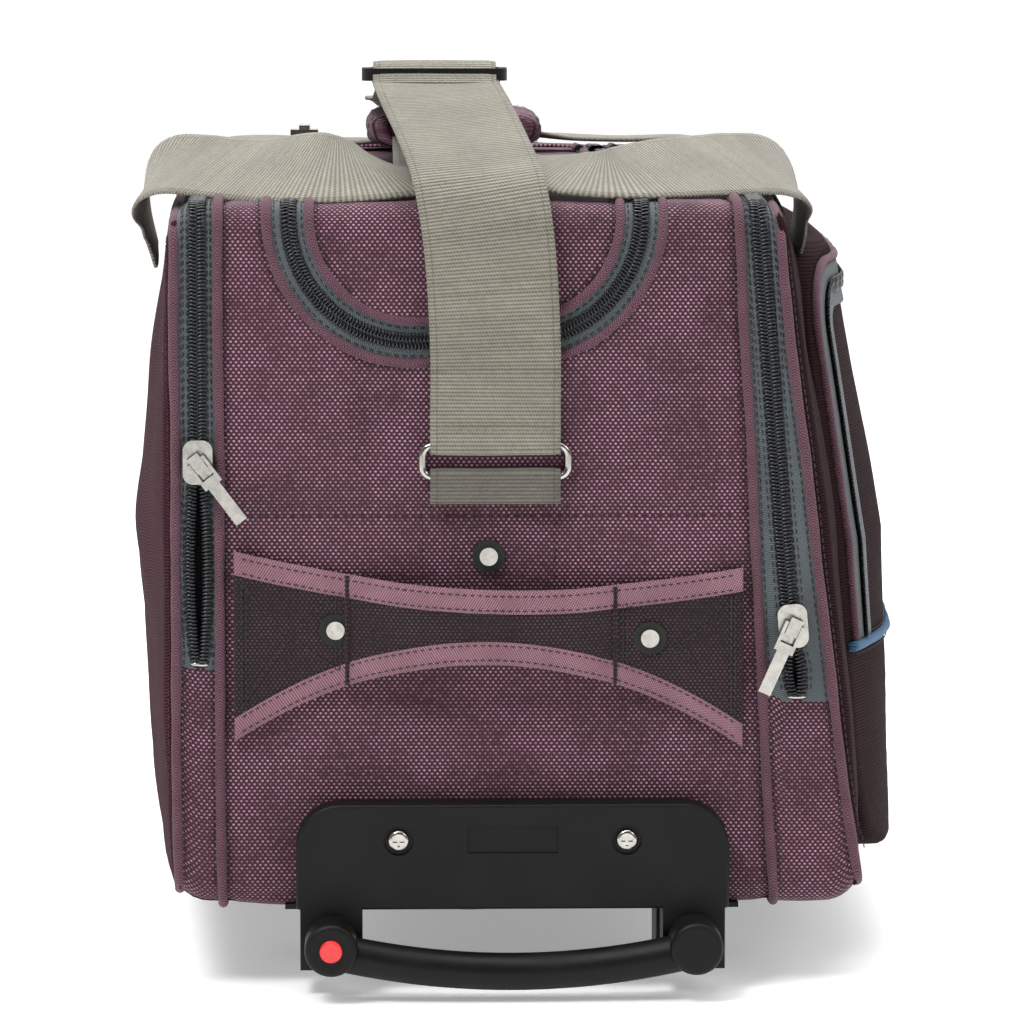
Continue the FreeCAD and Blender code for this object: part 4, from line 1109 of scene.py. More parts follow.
def make_side_panel(side):
    """One long side: a bulging cloth with its ends turned in to the gusset."""
    count = 84
    steps = 76
    turn_steps = 5
    r_side = 3 * MM
    inner_y = np.linspace(near_y + r_side, far_y - r_side, steps)
    columns = []
    uvs = []
    for y in inner_y:
        line, run = side_outline(side, y, count)
        columns.append(np.stack([line[:, 0], np.full(count, y), line[:, 1]], axis=1))
        uvs.append(np.stack([np.full(count, y), run], axis=1))
    body = np.stack(columns, axis=1)
    uv = np.stack(uvs, axis=1)

    def end_strip(column, at_y, direction):
        z = column[:, 2]
        z_low, z_high = z[0] + end_round, z[-1] - end_round
        z_e = z_low + (z - z[0]) / (z[-1] - z[0]) * (z_high - z_low)
        line = seam_left_outer if side == "left" else seam_right_outer
        x_e = line(z_e)
        strip = []
        for t in np.linspace(0, 1, turn_steps + 1)[1:]:
            phi = t * math.pi / 2
            share = 1 - math.cos(phi)
            x = column[:, 0] + (x_e - column[:, 0]) * share
            zz = z + (z_e - z) * share
            y = at_y + direction * r_side * math.sin(phi)
            strip.append(np.stack([x, np.full(count, y), zz], axis=1))
        return np.stack(strip, axis=1)

    near_strip = end_strip(body[:, 0], near_y + r_side, -1)[:, ::-1]
    far_strip = end_strip(body[:, -1], far_y - r_side, 1)
    points = np.concatenate([near_strip, body, far_strip], axis=1)
    extra = np.linspace(1, turn_steps, turn_steps) * 1.0 * MM
    uv = np.concatenate([uv[:, :1] - np.stack([extra[::-1], 0 * extra], axis=1)[None],
                         uv, uv[:, -1:] + np.stack([extra, 0 * extra], axis=1)[None]], axis=1)
    normal = grid_normals(points)
    out = -1.0 if side == "left" else 1.0
    if normal[count // 2, steps // 2, 0] * out < 0:
        normal = -normal
    share = np.linspace(0, 1, count)[:, None]
    along = np.linspace(0, 1, points.shape[1])[None, :]
    edge = np.clip(np.minimum(np.minimum(share, 1 - share) / 0.14,
                              np.minimum(along, 1 - along) / 0.1), 0, 1)
    sag = smooth_noise(points[..., 1], points[..., 2], 0.16, 51 if side == "left" else 52)
    fine = smooth_noise(points[..., 1] * 0.6, points[..., 2], 0.06, 53)
    lift = (1.6 * sag + 0.8 * fine + 1.5) * edge * MM
    points = points + normal * lift[..., None]
    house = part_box("wheel_housings")
    mid = (points[:-1, :-1] + points[1:, 1:]) / 2
    mask = ~((mid[..., 1] > house[0].y + 2 * MM) & (mid[..., 2] < house[1].z))
    # The right side's cloth gets the darker copy of the rib fabric: painted shade.
    piece = masked_cloth("side_cloth_" + side, points, uv, mask,
                         "rib_left" if side == "left" else "rib_right_painted_shade", "bag", 1.4 * MM)
    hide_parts("side_panel_" + side)


# ------------------------------------------------------------------ base cloth
def make_base_cloth():
    """The dark cloth under the bag, from side to side and end to end, cut round the housings."""
    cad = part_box("base_panel")
    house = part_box("wheel_housings")
    cell = 4 * MM
    margin = 1 * MM
    y = np.arange(cad[0].y + margin, cad[1].y - margin, cell)
    share = np.linspace(0, 1, 72)
    low_x = seam_left_outer(floor_z) + margin
    high_x = seam_right_outer(floor_z) - margin
    x = (low_x + (high_x - low_x) * share)[:, None] * np.ones_like(y)[None, :]
    yy = np.ones_like(x) * y[None, :]
    z = base_at(x, yy) + margin
    points = np.stack([x, yy, z], axis=-1)
    uv = np.stack([x, yy], axis=-1)
    mid = (points[:-1, :-1] + points[1:, 1:]) / 2
    housing_width = 40 * MM
    beside = (mid[..., 0] < house[0].x + housing_width) | (mid[..., 0] > house[1].x - housing_width)
    mask = ~((mid[..., 1] > house[0].y) & beside)
    piece = masked_cloth("base_cloth", points, uv, mask, "base_cloth", "bag")
    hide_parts("base_panel")


# ------------------------------------------------------------------ side pocket
def pocket_point(y, z, depth):
    """On the right side's surface at (y, z), pushed out by depth."""
    y, z, depth = np.broadcast_arrays(y, z, depth)
    bulge = side_bulge * swell(y)
    low_x = side_right_low + 0.3 * bulge
    high_x = side_right_high + 0.4 * bulge
    mid_x = (side_right_low + side_right_high) / 2 + side_fullness + bulge
    t = (z - floor_z) / (top_z - floor_z)
    straight = np.where(t < 0.5, low_x + (mid_x - low_x) * 2 * t,
                        mid_x + (high_x - mid_x) * (2 * t - 1))
    blend = 0.06 * np.exp(-((t - 0.5) / 0.18) ** 2) * (2 * mid_x - low_x - high_x)
    return np.stack([straight - blend + depth, y, z], axis=-1)


pocket_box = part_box("side_pocket")
pocket_depth = 17.5 * MM
pocket_ramp = 78 * MM        # length of the slope at each end of the pocket


def pocket_share(y):
    """Share of the pocket's full depth at y: it slopes down to both ends."""
    inward = np.minimum(y - pocket_box[0].y, pocket_box[1].y - y)
    t = np.clip(inward / pocket_ramp, 0, 1)
    return 0.16 + 0.84 * (t * (2 - t))


def make_pocket():
    """The side pocket: a rounded pad on the right side that thins to both ends."""
    box = pocket_box
    y0, y1, z0, z1 = box[0].y, box[1].y, box[0].z, box[1].z
    depth = pocket_depth
    rings = []
    ring_count = 168
    angles = np.linspace(0, 2 * math.pi, ring_count, endpoint=False)

    def outline(inset):
        """Rounded rectangle in (y, z), set in by inset."""
        half_w, half_h = (y1 - y0) / 2 - inset, (z1 - z0) / 2 - inset
        power = 9.0
        c, s = np.cos(angles), np.sin(angles)
        k = (np.abs(c / half_w) ** power + np.abs(s / half_h) ** power) ** (-1 / power)
        return (y0 + y1) / 2 + k * c, (z0 + z1) / 2 + k * s

    profile = [(0.0, -2.5), (0.0, 3.0), (0.0, 9.0), (0.2, 13.5), (1.2, 16.2), (3.5, 17.5)]
    for inset, out in profile:
        y, z = outline(inset * MM)
        rings.append(pocket_point(y, z, out * MM * pocket_share(y)))
    steps = 16
    half = (z1 - z0) / 2
    for i in range(1, steps + 1):
        inset = 3.5 * MM + (half - 6 * MM) * (i / steps)
        y, z = outline(inset)
        wave = 0.6 * smooth_noise(y, z, 0.1, 61) + 0.3 * smooth_noise(y, z, 0.045, 62)
        rise = (1.2 * math.sin(i / steps * math.pi / 2) + wave * min(i / 3, 1)) * MM
        rings.append(pocket_point(y, z, depth * pocket_share(y) + rise))
    verts = np.concatenate(rings)
    total = len(rings)
    faces = []
    for i in range(total - 1):
        for k in range(ring_count):
            m = (k + 1) % ring_count
            a, b = i * ring_count, (i + 1) * ring_count
            faces.append((a + k, a + m, b + m, b + k))
    last = (total - 1) * ring_count
    centre = verts[last:].mean(axis=0)
    verts = np.concatenate([verts, centre[None], verts[:ring_count].mean(axis=0)[None]])
    for k in range(ring_count):
        m = (k + 1) % ring_count
        faces.append((last + k, last + m, len(verts) - 2))
        faces.append((m, k, len(verts) - 1))
    uvs = np.stack([verts[:, 1], verts[:, 2]], axis=1)
    for i in range(5):
        uvs[i * ring_count:(i + 1) * ring_count, 0] += profile[i][1] * MM
    # The pocket on the right side also gets the darker rib copy: painted shade.
    piece = add_mesh("pocket_cloth", verts, faces, uvs, "rib_right_painted_shade", "bag")
    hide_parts("side_pocket")
    make_pocket_zip(y0, y1, z1)


def pocket_u(inset, y0, y1, z1, z_low, corner, count=200):
    """(y, z) along an upside-down U on the pocket's face."""
    a, b, top = y0 + inset, y1 - inset, z1 - inset
    c = corner - inset
    arc = np.linspace(0, math.pi / 2, 20)
    y = np.concatenate([[a], a + c - c * np.cos(arc), b - c + c * np.sin(arc), [b]])
    z = np.concatenate([[z_low], top - c + c * np.sin(arc), top - c + c * np.cos(arc), [z_low]])
    run = np.concatenate([[0], np.cumsum(np.hypot(np.diff(y), np.diff(z)))])
    want = np.linspace(0, run[-1], count)
    return np.interp(want, run, y), np.interp(want, run, z), want


def make_pocket_zip(y0, y1, z1):
    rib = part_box("pocket_piping")
    z_low = rib[1].z + 0.5 * MM
    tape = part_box("pocket_zip_tape")
    edge = tape[0].y - y0
    width = 17 * MM
    corner = 34 * MM
    def on_face(y, z, lift):
        return pocket_point(y, z, pocket_depth * pocket_share(y) + 1.7 * MM + lift)

    def strip(name, inset_a, inset_b, material, lift, columns=4, thickness=0.8 * MM):
        ay, az, run = pocket_u(inset_a, y0, y1, z1, z_low, corner)
        by, bz, _ = pocket_u(inset_b, y0, y1, z1, z_low, corner)
        share = np.linspace(0, 1, columns)[:, None]
        y = ay[None] * (1 - share) + by[None] * share
        z = az[None] * (1 - share) + bz[None] * share
        points = on_face(y, z, lift)
        uv = np.stack([np.broadcast_to(run[None], y.shape),
                       share * (inset_b - inset_a) + 0 * y], axis=-1)
        return masked_cloth(name, points, uv, np.ones((columns - 1, y.shape[1] - 1), bool),
                            material,
                            "bag", thickness)

    middle = edge + width / 2
    outer = strip("pocket_tape_outer", edge, middle - 1.9 * MM, "zip_tape", 0.0)
    strip("pocket_tape_inner", middle + 1.9 * MM, edge + width, "zip_tape", 0.0)
    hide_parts("pocket_zip_tape")
    y, z, run = pocket_u(middle, y0, y1, z1, z_low, corner, 500)
    centre = on_face(y, z, 0.2 * MM)
    up = on_face(y, z, 1.2 * MM) - centre
    up /= np.linalg.norm(up, axis=1, keepdims=True)
    along = np.gradient(centre, axis=0)
    along /= np.linalg.norm(along, axis=1, keepdims=True)
    across = np.cross(up, along)
    halves = [tooth_helix(centre, across, up, sign, offset=offset, reach=1.75 * MM, pitch=1.5 * MM)
              for sign, offset in ((1, 0.0), (-1, 0.5))]
    joined("pocket_coil", halves, "coil", "bag")
    # Painted shade: a near-black strip under the pocket's coil stands in for the shaded inside.
    strip("pocket_zip_painted_shade", middle - 3 * MM, middle + 3 * MM, "painted_shade_inside", -1.1 * MM, 3)
    y, z, _ = pocket_u(edge - 1.6 * MM, y0, y1, z1, z_low, corner)
    cord_with_seam("pocket_welt", on_face(y, z, -0.6 * MM), "piping", "bag", 1.7 * MM)
    y = np.linspace(y0 + MM, y1 - MM, 120)
    z = np.full_like(y, (rib[0].z + rib[1].z) / 2)
    path = on_face(y, z, -0.4 * MM)
    rib_piece = cord_with_seam("pocket_blue_welt", path, "blue_piping", "bag", 2.0 * MM)
    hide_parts("pocket_piping")
    rows = []
    for away in (-3.4 * MM, 3.4 * MM):
        yy = np.linspace(y0 + 5 * MM, y1 - 5 * MM, 100)
        zz = np.full_like(yy, z[0] + away)
        p = on_face(yy, zz, -0.2 * MM)
        rows.append(stitch_mesh(p, np.tile([1.0, 0, 0], (len(yy), 1))))
    joined("pocket_stitches", rows, "thread", "bag")

# ------------------------------------------------------------------ webbing
strap_x = (low("strap_anchors").x + high("strap_anchors").x) / 2
web_width = high("strap_anchors").x - low("strap_anchors").x
web_thick = 2.0 * MM
model_x, model_y = handle_x, mid_y       # the middle of the handle and of the bag


def band_mesh(stations, width, thickness, cup=0.0, count=None, sway=0.0, seed=1):
    """A flat strap along (x, y, z, ax, ay, az) rows: a point and a direction across."""
    rows = np.asarray(stations, float)
    count = count or max(int(len(rows)), 2)
    p, a = rows[:, :3], rows[:, 3:6]
    t = np.gradient(p, axis=0)
    t /= np.linalg.norm(t, axis=1, keepdims=True)
    a = a - t * (a * t).sum(axis=1, keepdims=True)
    a /= np.linalg.norm(a, axis=1, keepdims=True)
    n = np.cross(t, a)
    run = run_along(p)
    half_w, half_t = width / 2, thickness / 2
    cols = np.linspace(-1, 1, 17)
    edge = 1 - 0.45 * np.abs(cols) ** 16
    profile = [(c, half_t * e, abs(c)) for c, e in zip(cols, edge)]
    profile += [(c, -half_t * e, abs(c)) for c, e in zip(cols[::-1], edge[::-1])]
    ring = len(profile)
    wave = sway * np.sin(run[:, None] * 60 + np.array([q[0] for q in profile])[None, :] * 1.5)
    ripple = 0.25 * MM * smooth_noise(run[:, None] + 0 * wave,
                                      np.array([q[0] for q in profile])[None, :]
                                      * half_w, 0.05, seed)
    out = np.array([q[1] for q in profile])[None, :] + wave + ripple
    cupped = cup * (np.array([q[0] for q in profile])[None, :] ** 2)
    side = np.array([q[0] for q in profile])[None, :] * half_w
    verts = (p[:, None, :] + a[:, None, :] * side[..., None]
             + n[:, None, :] * (out + cupped)[..., None])
    uv = np.zeros((len(p), ring, 2))
    uv[..., 0] = side + half_w
    uv[..., 1] = run[:, None]
    faces = []
    for i in range(len(p) - 1):
        for k in range(ring):
            m = (k + 1) % ring
            b = i * ring
            faces.append((b + k, b + m, b + ring + m, b + ring + k))
    for i, order in ((0, False), (len(p) - 1, True)):
        half = ring // 2
        for k in range(half - 1):
            quad = (i * ring + k, i * ring + k + 1, i * ring + ring - 2 - k,
                    i * ring + ring - 1 - k)
            faces.append(quad if order else tuple(reversed(quad)))
    return verts.reshape(-1, 3), faces, uv.reshape(-1, 2), run[-1]


def band(name, stations, material, body, width=None, thickness=None, **look):
    verts, faces, uvs, length = band_mesh(stations, width or web_width, thickness or web_thick,
                                          **look)
    return add_mesh(name, verts, faces, uvs, material, body), length


def across_rows(points, across=(1.0, 0.0, 0.0)):
    return [(*p, *across) for p in points]


strap_fold_z = top_z - 64 * MM           # the strap's top piece starts here on the near end


def strap_rows():
    """The shoulder strap's route over the bag, near ring to far ring."""
    out = half_length + 4 * MM
    top = high("strap_rings").z + 8.5 * MM
    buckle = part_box("tri_glide")
    buckle_y = (buckle[0].y + buckle[1].y) / 2 - mid_y
    rows = [(0, -out, top - 2 * MM), (0, -out - 1.5 * MM, top_z - 54 * MM),
            (-2 * MM, -out - 2.5 * MM, top_z - 18 * MM), (-6 * MM, -out + 6 * MM, top_z + 8 * MM),
            (-13 * MM, -out + 39 * MM, top_z + 26 * MM),
            (-20 * MM, buckle_y - 28 * MM, top_z + 40 * MM),
            (-22 * MM, buckle_y, top_z + 44 * MM), (-20 * MM, buckle_y + 32 * MM, top_z + 42 * MM),
            (-22 * MM, -70 * MM, top_z + 34 * MM), (-25 * MM, 0, top_z + 31.5 * MM),
            (-24 * MM, 80 * MM, top_z + 28 * MM), (-17 * MM, 150 * MM, top_z + 22 * MM),
            (-6 * MM, out - 39 * MM, top_z + 13 * MM), (0, out - 5 * MM, top_z + 4 * MM),
            (0, out + 2.5 * MM, top_z - 18 * MM), (0, out + 1.5 * MM, top_z - 54 * MM),
            (0, out, top - 2 * MM)]
    return smooth_curve([(strap_x + x, mid_y + y, z) for x, y, z in rows], 420)


def loop_rows(y, bar_z, end_z, side):
    """Webbing that passes round a ring's bar at bar_z and comes back to end_z."""
    wire = 1.6 * MM + web_thick / 2
    sign = 1 if end_z > bar_z else -1
    rows = [(y - side * wire * 0.95, end_z)]
    for z in np.linspace(end_z, bar_z + sign * 3 * MM, 6)[1:]:
        rows.append((y - side * wire, z))
    for t in np.linspace(0.15, 0.85, 7):
        angle = math.pi * t
        rows.append((y - side * wire * math.cos(angle), bar_z - sign * wire * math.sin(angle)))
    for z in np.linspace(bar_z + sign * 3 * MM, end_z, 6):
        rows.append((y + side * wire, z))
    return [(strap_x, yy, zz) for yy, zz in rows]


def make_straps():
    """The shoulder strap in three pieces, and its folded tabs under both rings."""
    route = strap_rows()
    z_first = np.argmax(route[:, 2] > strap_fold_z)
    far = np.nonzero((route[:, 1] > mid_y) & (route[:, 2] < top_z + 4.5 * MM))[0][0]
    bar_up = high("strap_rings").z - 1.5 * MM
    bar_low = low("strap_rings").z + 1.5 * MM
    ring_y_near = low("strap_rings").y + 1.5 * MM
    ring_y_far = high("strap_rings").y - 1.5 * MM
    near_rows = list(loop_rows(ring_y_near, bar_up, bar_up + 13 * MM, -1)[:-5])
    hang = [r for r in route[:z_first + 1] if r[2] > bar_up + 16 * MM]
    hang = [(r[0], r[1] - 1.2 * MM * max(0, 1 - (r[2] - bar_up) / (40 * MM)), r[2]) for r in hang]
    hang[-1] = tuple(route[z_first])
    curve = smooth_curve(near_rows + hang, 150)
    near_piece, near_length = band("strap_near", across_rows(curve), "webbing", "bag")
    top_rows = route[z_first:far + 1]
    top_piece, top_length = band("strap_top", across_rows(top_rows), "webbing", "bag",
                                 cup=-0.8 * MM,
                                 sway=0.25 * MM)
    far_loop = list(reversed(loop_rows(ring_y_far, bar_up, bar_up + 13 * MM, 1)[:-5]))
    hang = [tuple(r) for r in route[far:] if r[2] > bar_up + 16 * MM]
    curve = smooth_curve(hang + far_loop, 170)
    far_piece, far_length = band("strap_far", across_rows(curve), "webbing", "bag")
    for piece, length, held in ((near_piece, near_length, "hung"), (top_piece, top_length, "laid"),
                                (far_piece, far_length, "hung")):
        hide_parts("shoulder_strap")
    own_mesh(top_piece)
    for label, y, side in (("near", ring_y_near, -1), ("far", ring_y_far, 1)):
        rows = loop_rows(y, bar_low, low("strap_anchors").z, side)
        # The tabs get the darker copy of the strap's webbing: painted shade under the rings.
        tab, length = band("strap_tab_" + label, across_rows(smooth_curve(rows, 60)),
                           "webbing_painted_shade",
                           "bag")
        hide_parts("strap_anchors")
        out = y + side * (1.6 * MM + web_thick)
        stitches = []
        for z in (bar_up + 6.5 * MM, bar_up + 9 * MM):
            xs = np.linspace(strap_x - web_width / 2 + 2 * MM, strap_x + web_width / 2 - 2 * MM, 20)
            line = np.stack([xs, np.full(20, out + side * 0.2 * MM), np.full(20, z)], axis=1)
            stitches.append(stitch_mesh(line, np.tile([0.0, side, 0.0], (20, 1))))
        joined("strap_stitches_" + label, stitches, "thread_tan", "bag")


def make_buckle():
    """The tri-glide with softened edges, and the strap that shows over it."""
    node = bpy.data.objects["tri_glide"]
    mesh = node.data.copy()
    mesh.materials.clear()
    mesh.materials.append(MATERIALS["black_plastic"])
    buckle = bpy.data.objects.new("buckle", mesh)
    bpy.context.scene.collection.objects.link(buckle)
    softened(buckle, 0.9 * MM, 3)
    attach(buckle, "bag")
    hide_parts("tri_glide")
    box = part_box("tri_glide")
    centre_y = (box[0].y + box[1].y) / 2
    x = (box[0].x + box[1].x) / 2
    over = []
    for y, z in ((-16, -1.2), (-12.5, 1.2), (-8.5, 4.6), (-5, 6.4), (0, 7.0), (5, 6.4), (8.5, 4.6),
                 (12, 1.6), (17, -0.8)):
        over.append((x, centre_y + y * MM, box[0].z + z * MM))
    cover, length = band("strap_over_buckle", across_rows(smooth_curve(over, 40)), "webbing", "bag",
                         web_width - 1 * MM)
    for piece in (buckle, cover):
        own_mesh(piece)


def softened(piece, width, segments=2):
    """Applies a bevel to a piece's mesh."""
    bevel = piece.modifiers.new("bevel", "BEVEL")
    bevel.width = width
    bevel.segments = segments
    bevel.limit_method = "ANGLE"
    bevel.angle_limit = math.radians(35)
    depsgraph = bpy.context.evaluated_depsgraph_get()
    mesh = bpy.data.meshes.new_from_object(piece.evaluated_get(depsgraph))
    piece.modifiers.clear()
    piece.data = mesh
    mesh.polygons.foreach_set("use_smooth", np.ones(len(mesh.polygons), bool))
    mesh.set_sharp_from_angle(angle=math.radians(40))


def placed(rows):
    """Rows in millimetres from the model's centre and the top edge, in the frame's metres."""
    rows = rows.copy()
    rows[:, 0] = rows[:, 0] * MM + model_x
    rows[:, 1] = rows[:, 1] * MM + model_y
    rows[:, 2] = rows[:, 2] * MM + top_z
    return rows


def make_carry_handles():
    """Both webbing handles, each row being x, y, z and the direction across the web."""
    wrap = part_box("handle_wrap")
    wrap_x = ((wrap[0].x + wrap[1].x) / 2 - model_x) / MM
    left = [(-139.5, -165, -24, 0, 1, 0.05), (-143, -168, -8, 0, 1, 0.15),
            (-141, -176, 6, 0, 0.97, 0.25),
            (-128, -188, 12, -0.03, 0.95, 0.3), (-100, -207, 12, -0.08, 0.93, 0.36),
            (-74, -220, 12.5, -0.06, 0.88, 0.46), (-51, -217, 11.5, -0.42, 0.8, 0.36),
            (-35, -203, 9.5, -0.74, 0.64, 0.2), (-25, -184, 8, -0.93, 0.34, 0.08),
            (-20.5, -158, 8.5, -1, 0.08, 0), (-20, -110, 12, -1, 0, 0), (-20, -60, 16.5, -1, 0, 0),
            (wrap_x, 0, 18, -1, 0, 0), (-20, 60, 16.5, -1, 0, 0), (-27, 96, 11, -0.9, -0.3, 0),
            (-48, 126, 8, -0.6, -0.75, 0), (-84, 143, 7.5, -0.2, -1, 0), (-120, 150, 6.5, 0, -1, 0),
            (-137, 150, -3, 0, -1, 0), (-141, 150, -16, 0, -1, 0), (-141.5, 150, -34, 0, -1, 0)]
    right = [(113.5, -160, -30, 0, 1, 0.05), (117.5, -162, -10, 0, 1, 0.15),
             (113, -170, 6, 0, 0.97, 0.25),
             (98, -184, 12, 0.03, 0.95, 0.3), (72, -204, 12, 0.12, 0.93, 0.33),
             (44, -219, 10.5, 0.08, 0.93, 0.32),
             (20, -215, 11, 0.42, 0.86, 0.22), (3, -202, 12.5, 0.74, 0.66, 0.12),
             (-8, -184, 14, 0.93, 0.36, 0.05),
             (-14, -160, 15.5, 1, 0.08, 0), (-17, -110, 18, 1, 0, 0), (-18, -60, 21, 1, 0, 0),
             (wrap_x, 0, 22.5, 1, 0, 0), (-18, 60, 21, 1, 0, 0), (-8, 98, 15, 0.9, -0.3, 0),
             (16, 126, 11, 0.6, -0.75, 0), (54, 143, 8.5, 0.2, -1, 0), (92, 150, 7.5, 0, -1, 0),
             (110, 150, -1, 0, -1, 0), (115.5, 150, -15, 0, -1, 0), (114, 150, -34, 0, -1, 0)]
    edge_left = side_left_high - 5.5 * MM
    edge_right = side_right_high + 9 * MM
    for name, half, edge, seed in (("left", left, edge_left, 5), ("right", right, edge_right, 6)):
        rows = placed(smooth_curve(half, 240))
        piece, length = band("carry_web_" + name, rows, "webbing", "bag", sway=0.3 * MM, seed=seed)
        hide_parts("carry_handle_" + name)
        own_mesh(piece)
    make_wrap(wrap)


def make_wrap(box):
    """Padded grip round both handles, with a ring of stitches near each end."""
    y0, y1 = box[0].y, box[1].y
    cx, cz = (box[0].x + box[1].x) / 2, (box[0].z + box[1].z) / 2
    half_w, half_h = (box[1].x - box[0].x) / 2, (box[1].z - box[0].z) / 2
    segs, steps = 56, 48
    angle = np.linspace(0, 2 * math.pi, segs, endpoint=False)
    power = 3.4
    ring = (np.abs(np.cos(angle)) ** power + np.abs(np.sin(angle)) ** power) ** (-1 / power)
    rings = []
    profile = [(y0 + 2.2 * MM, 0.70), (y0 + 0.6 * MM, 0.76), (y0, 0.88)]
    body = [(y, 1.0 - 0.06 * ((y - (y0 + y1) / 2) / ((y1 - y0) / 2)) ** 8)
            for y in np.linspace(y0 + 1.2 * MM, y1 - 1.2 * MM, steps)]
    profile = profile + body + [(y1, 0.88), (y1 - 0.6 * MM, 0.76), (y1 - 2.2 * MM, 0.70)]
    for y, scale in profile:
        dents = 1 + 0.02 * np.sin(angle * 3 + y * 140) + 0.015 * np.sin(y * 330 + angle)
        x = cx + half_w * scale * ring * np.cos(angle) * dents
        z = cz + half_h * scale * ring * np.sin(angle) * dents
        rings.append(np.stack([x, np.full(segs, y), z], axis=1))
    outer = np.stack(rings)
    inside = outer[[0, -1]].copy()
    inside[:, :, 0] = cx + (inside[:, :, 0] - cx) * 0.98
    inside[:, :, 2] = cz + (inside[:, :, 2] - cz) * 0.90
    inside[0, :, 1] += 4 * MM
    inside[1, :, 1] -= 4 * MM
    points = np.concatenate([inside[:1], outer, inside[1:]])
    n = len(points)
    verts = points.reshape(-1, 3)
    uvs = np.stack([np.broadcast_to(np.arange(segs)[None, :] * 3.1 * MM, (n, segs)),
                    points[..., 1]], axis=-1).reshape(-1, 2)
    faces = []
    for i in range(n - 1):
        for k in range(segs):
            m = (k + 1) % segs
            a, b = i * segs, (i + 1) * segs
            faces.append((a + k, b + k, b + m, a + m))
    for k in range(segs):
        m = (k + 1) % segs
        a, b = 0, (n - 1) * segs
        faces.append((a + m, b + m, b + k, a + k))
    pad = add_mesh("handle_pad", verts, faces, uvs, "heather", "bag")
    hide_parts("handle_wrap")
    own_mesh(pad)
    parts = []
    for yy in (y0 + 4.5 * MM, y1 - 4.5 * MM):
        angle2 = np.linspace(0, 2 * math.pi, 80)
        ring2 = (np.abs(np.cos(angle2)) ** power + np.abs(np.sin(angle2)) ** power) ** (-1 / power)
        line = np.stack([cx + half_w * 1.005 * ring2 * np.cos(angle2), np.full(80, yy),
                         cz + half_h * 1.005 * ring2 * np.sin(angle2)], axis=1)
        normal = line - np.array([cx, yy, cz])
        normal /= np.linalg.norm(normal, axis=1, keepdims=True)
        parts.append(stitch_mesh(line, normal))
    seam_piece = joined("pad_stitches", parts, "thread", "bag")
    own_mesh(seam_piece)

# ------------------------------------------------------------------ grab handle
grab_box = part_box("grab_handle")
grab_x = (grab_box[0].x + grab_box[1].x) / 2
grab_half = (grab_box[1].x - grab_box[0].x) / 2
grab_rise = near_y - grab_box[0].y - 3.8 * MM
grab_seam_left, grab_seam_right = -54.5 * MM, 48.5 * MM     # where the raised middle begins


def arc_height(x, left, middle, right):
    """Height of a bow through three points at the handle's left end, middle and right end."""
    t = np.clip(x / grab_half, -1, 1)
    return middle + (right - left) / 2 * t + ((right + left) / 2 - middle) * t * t


def grab_high(x):
    return arc_height(x, floor_z + 138 * MM, floor_z + 124 * MM, floor_z + 131 * MM)


def grab_low(x):
    return arc_height(x, floor_z + 65 * MM, floor_z + 96 * MM, floor_z + 62 * MM)


def grab_front(x):
    """Front face of the handle: it bows out in the middle for the fingers."""
    knots = np.array([-98, -73.5, -52, -32, 0, 32, 52, 73.5, 98]) * MM
    rises = np.array([0, 0, 0.2, 0.82, 1, 0.82, 0.2, 0, 0])
    dense = smooth_curve(np.stack([knots, rises * 0.01], axis=1), 200)
    rise = np.interp(x, dense[:, 0], dense[:, 1] / 0.01)
    return near_y - 0.3 * MM - 3.0 * MM - np.clip(rise, 0, 1.02) * grab_rise


def grab_row(x, share, lift=0.0):
    """Points on the handle's face; share runs from its lower edge to its upper edge."""
    z = grab_low(x) + (grab_high(x) - grab_low(x)) * share
    return np.stack([grab_x + x, grab_front(x) - lift, z], axis=-1)


def edge_binding(name, high_edge):
    """Folded tape over a long edge of the handle, fuller at its rim."""
    x = np.linspace(-grab_half, grab_half, 150)
    edge = grab_high(x) if high_edge else grab_low(x)
    inward = -1.0 if high_edge else 1.0
    width, rim = 8.6 * MM, 0.5 * MM
    profile = [(-rim, 1.1), (-rim * 0.6, -0.45), (0.25 * width, -1.0), (0.5 * width, -1.05),
               (0.85 * width, -0.95), (width, -0.5), (width, 0.3), (0.75 * width, 0.6),
               (0.3 * width, 2.6), (-rim * 0.5, 2.4)]
    full = 1 + 0.22 * np.exp(-(x / (34 * MM)) ** 4)
    pucker = 0.25 * MM * np.sin(x * 320) * 0.5
    rings = []
    for away, out in profile:
        y = grab_front(x) + out * MM * np.where(out < 0, full, 1) + pucker * (out < 0)
        rings.append(np.stack([grab_x + x, y, edge + inward * away], axis=1))
    points = np.stack(rings, axis=1)
    count = len(profile)
    n = len(x)
    run = run_along(points[:, 2])
    uv = np.zeros((n, count, 2))
    uv[..., 0] = run[:, None]
    uv[..., 1] = np.array([p[0] for p in profile])[None, :]
    faces = []
    for i in range(n - 1):
        for k in range(count):
            m = (k + 1) % count
            quad = (i * count + k, i * count + m, (i + 1) * count + m, (i + 1) * count + k)
            faces.append(quad if high_edge else tuple(reversed(quad)))
    faces.append(tuple(range(count)) if not high_edge else tuple(reversed(range(count))))
    last = [(n - 1) * count + k for k in range(count)]
    faces.append(tuple(reversed(last)) if not high_edge else tuple(last))
    add_mesh(name, points.reshape(-1, 3), faces, uv.reshape(-1, 2), "binding", "bag")
    rows = []
    for away in (width - 1.3 * MM, 1.6 * MM):
        line = np.stack([grab_x + x, grab_front(x) - 1.02 * MM * full, edge + inward * away],
                        axis=1)
        rows.append(stitch_mesh(line[2:-2], np.tile([0.0, -1.0, 0.0], (n - 4, 1)), length=2.0 * MM))
    joined(name + "_stitches", rows, "thread", "bag")


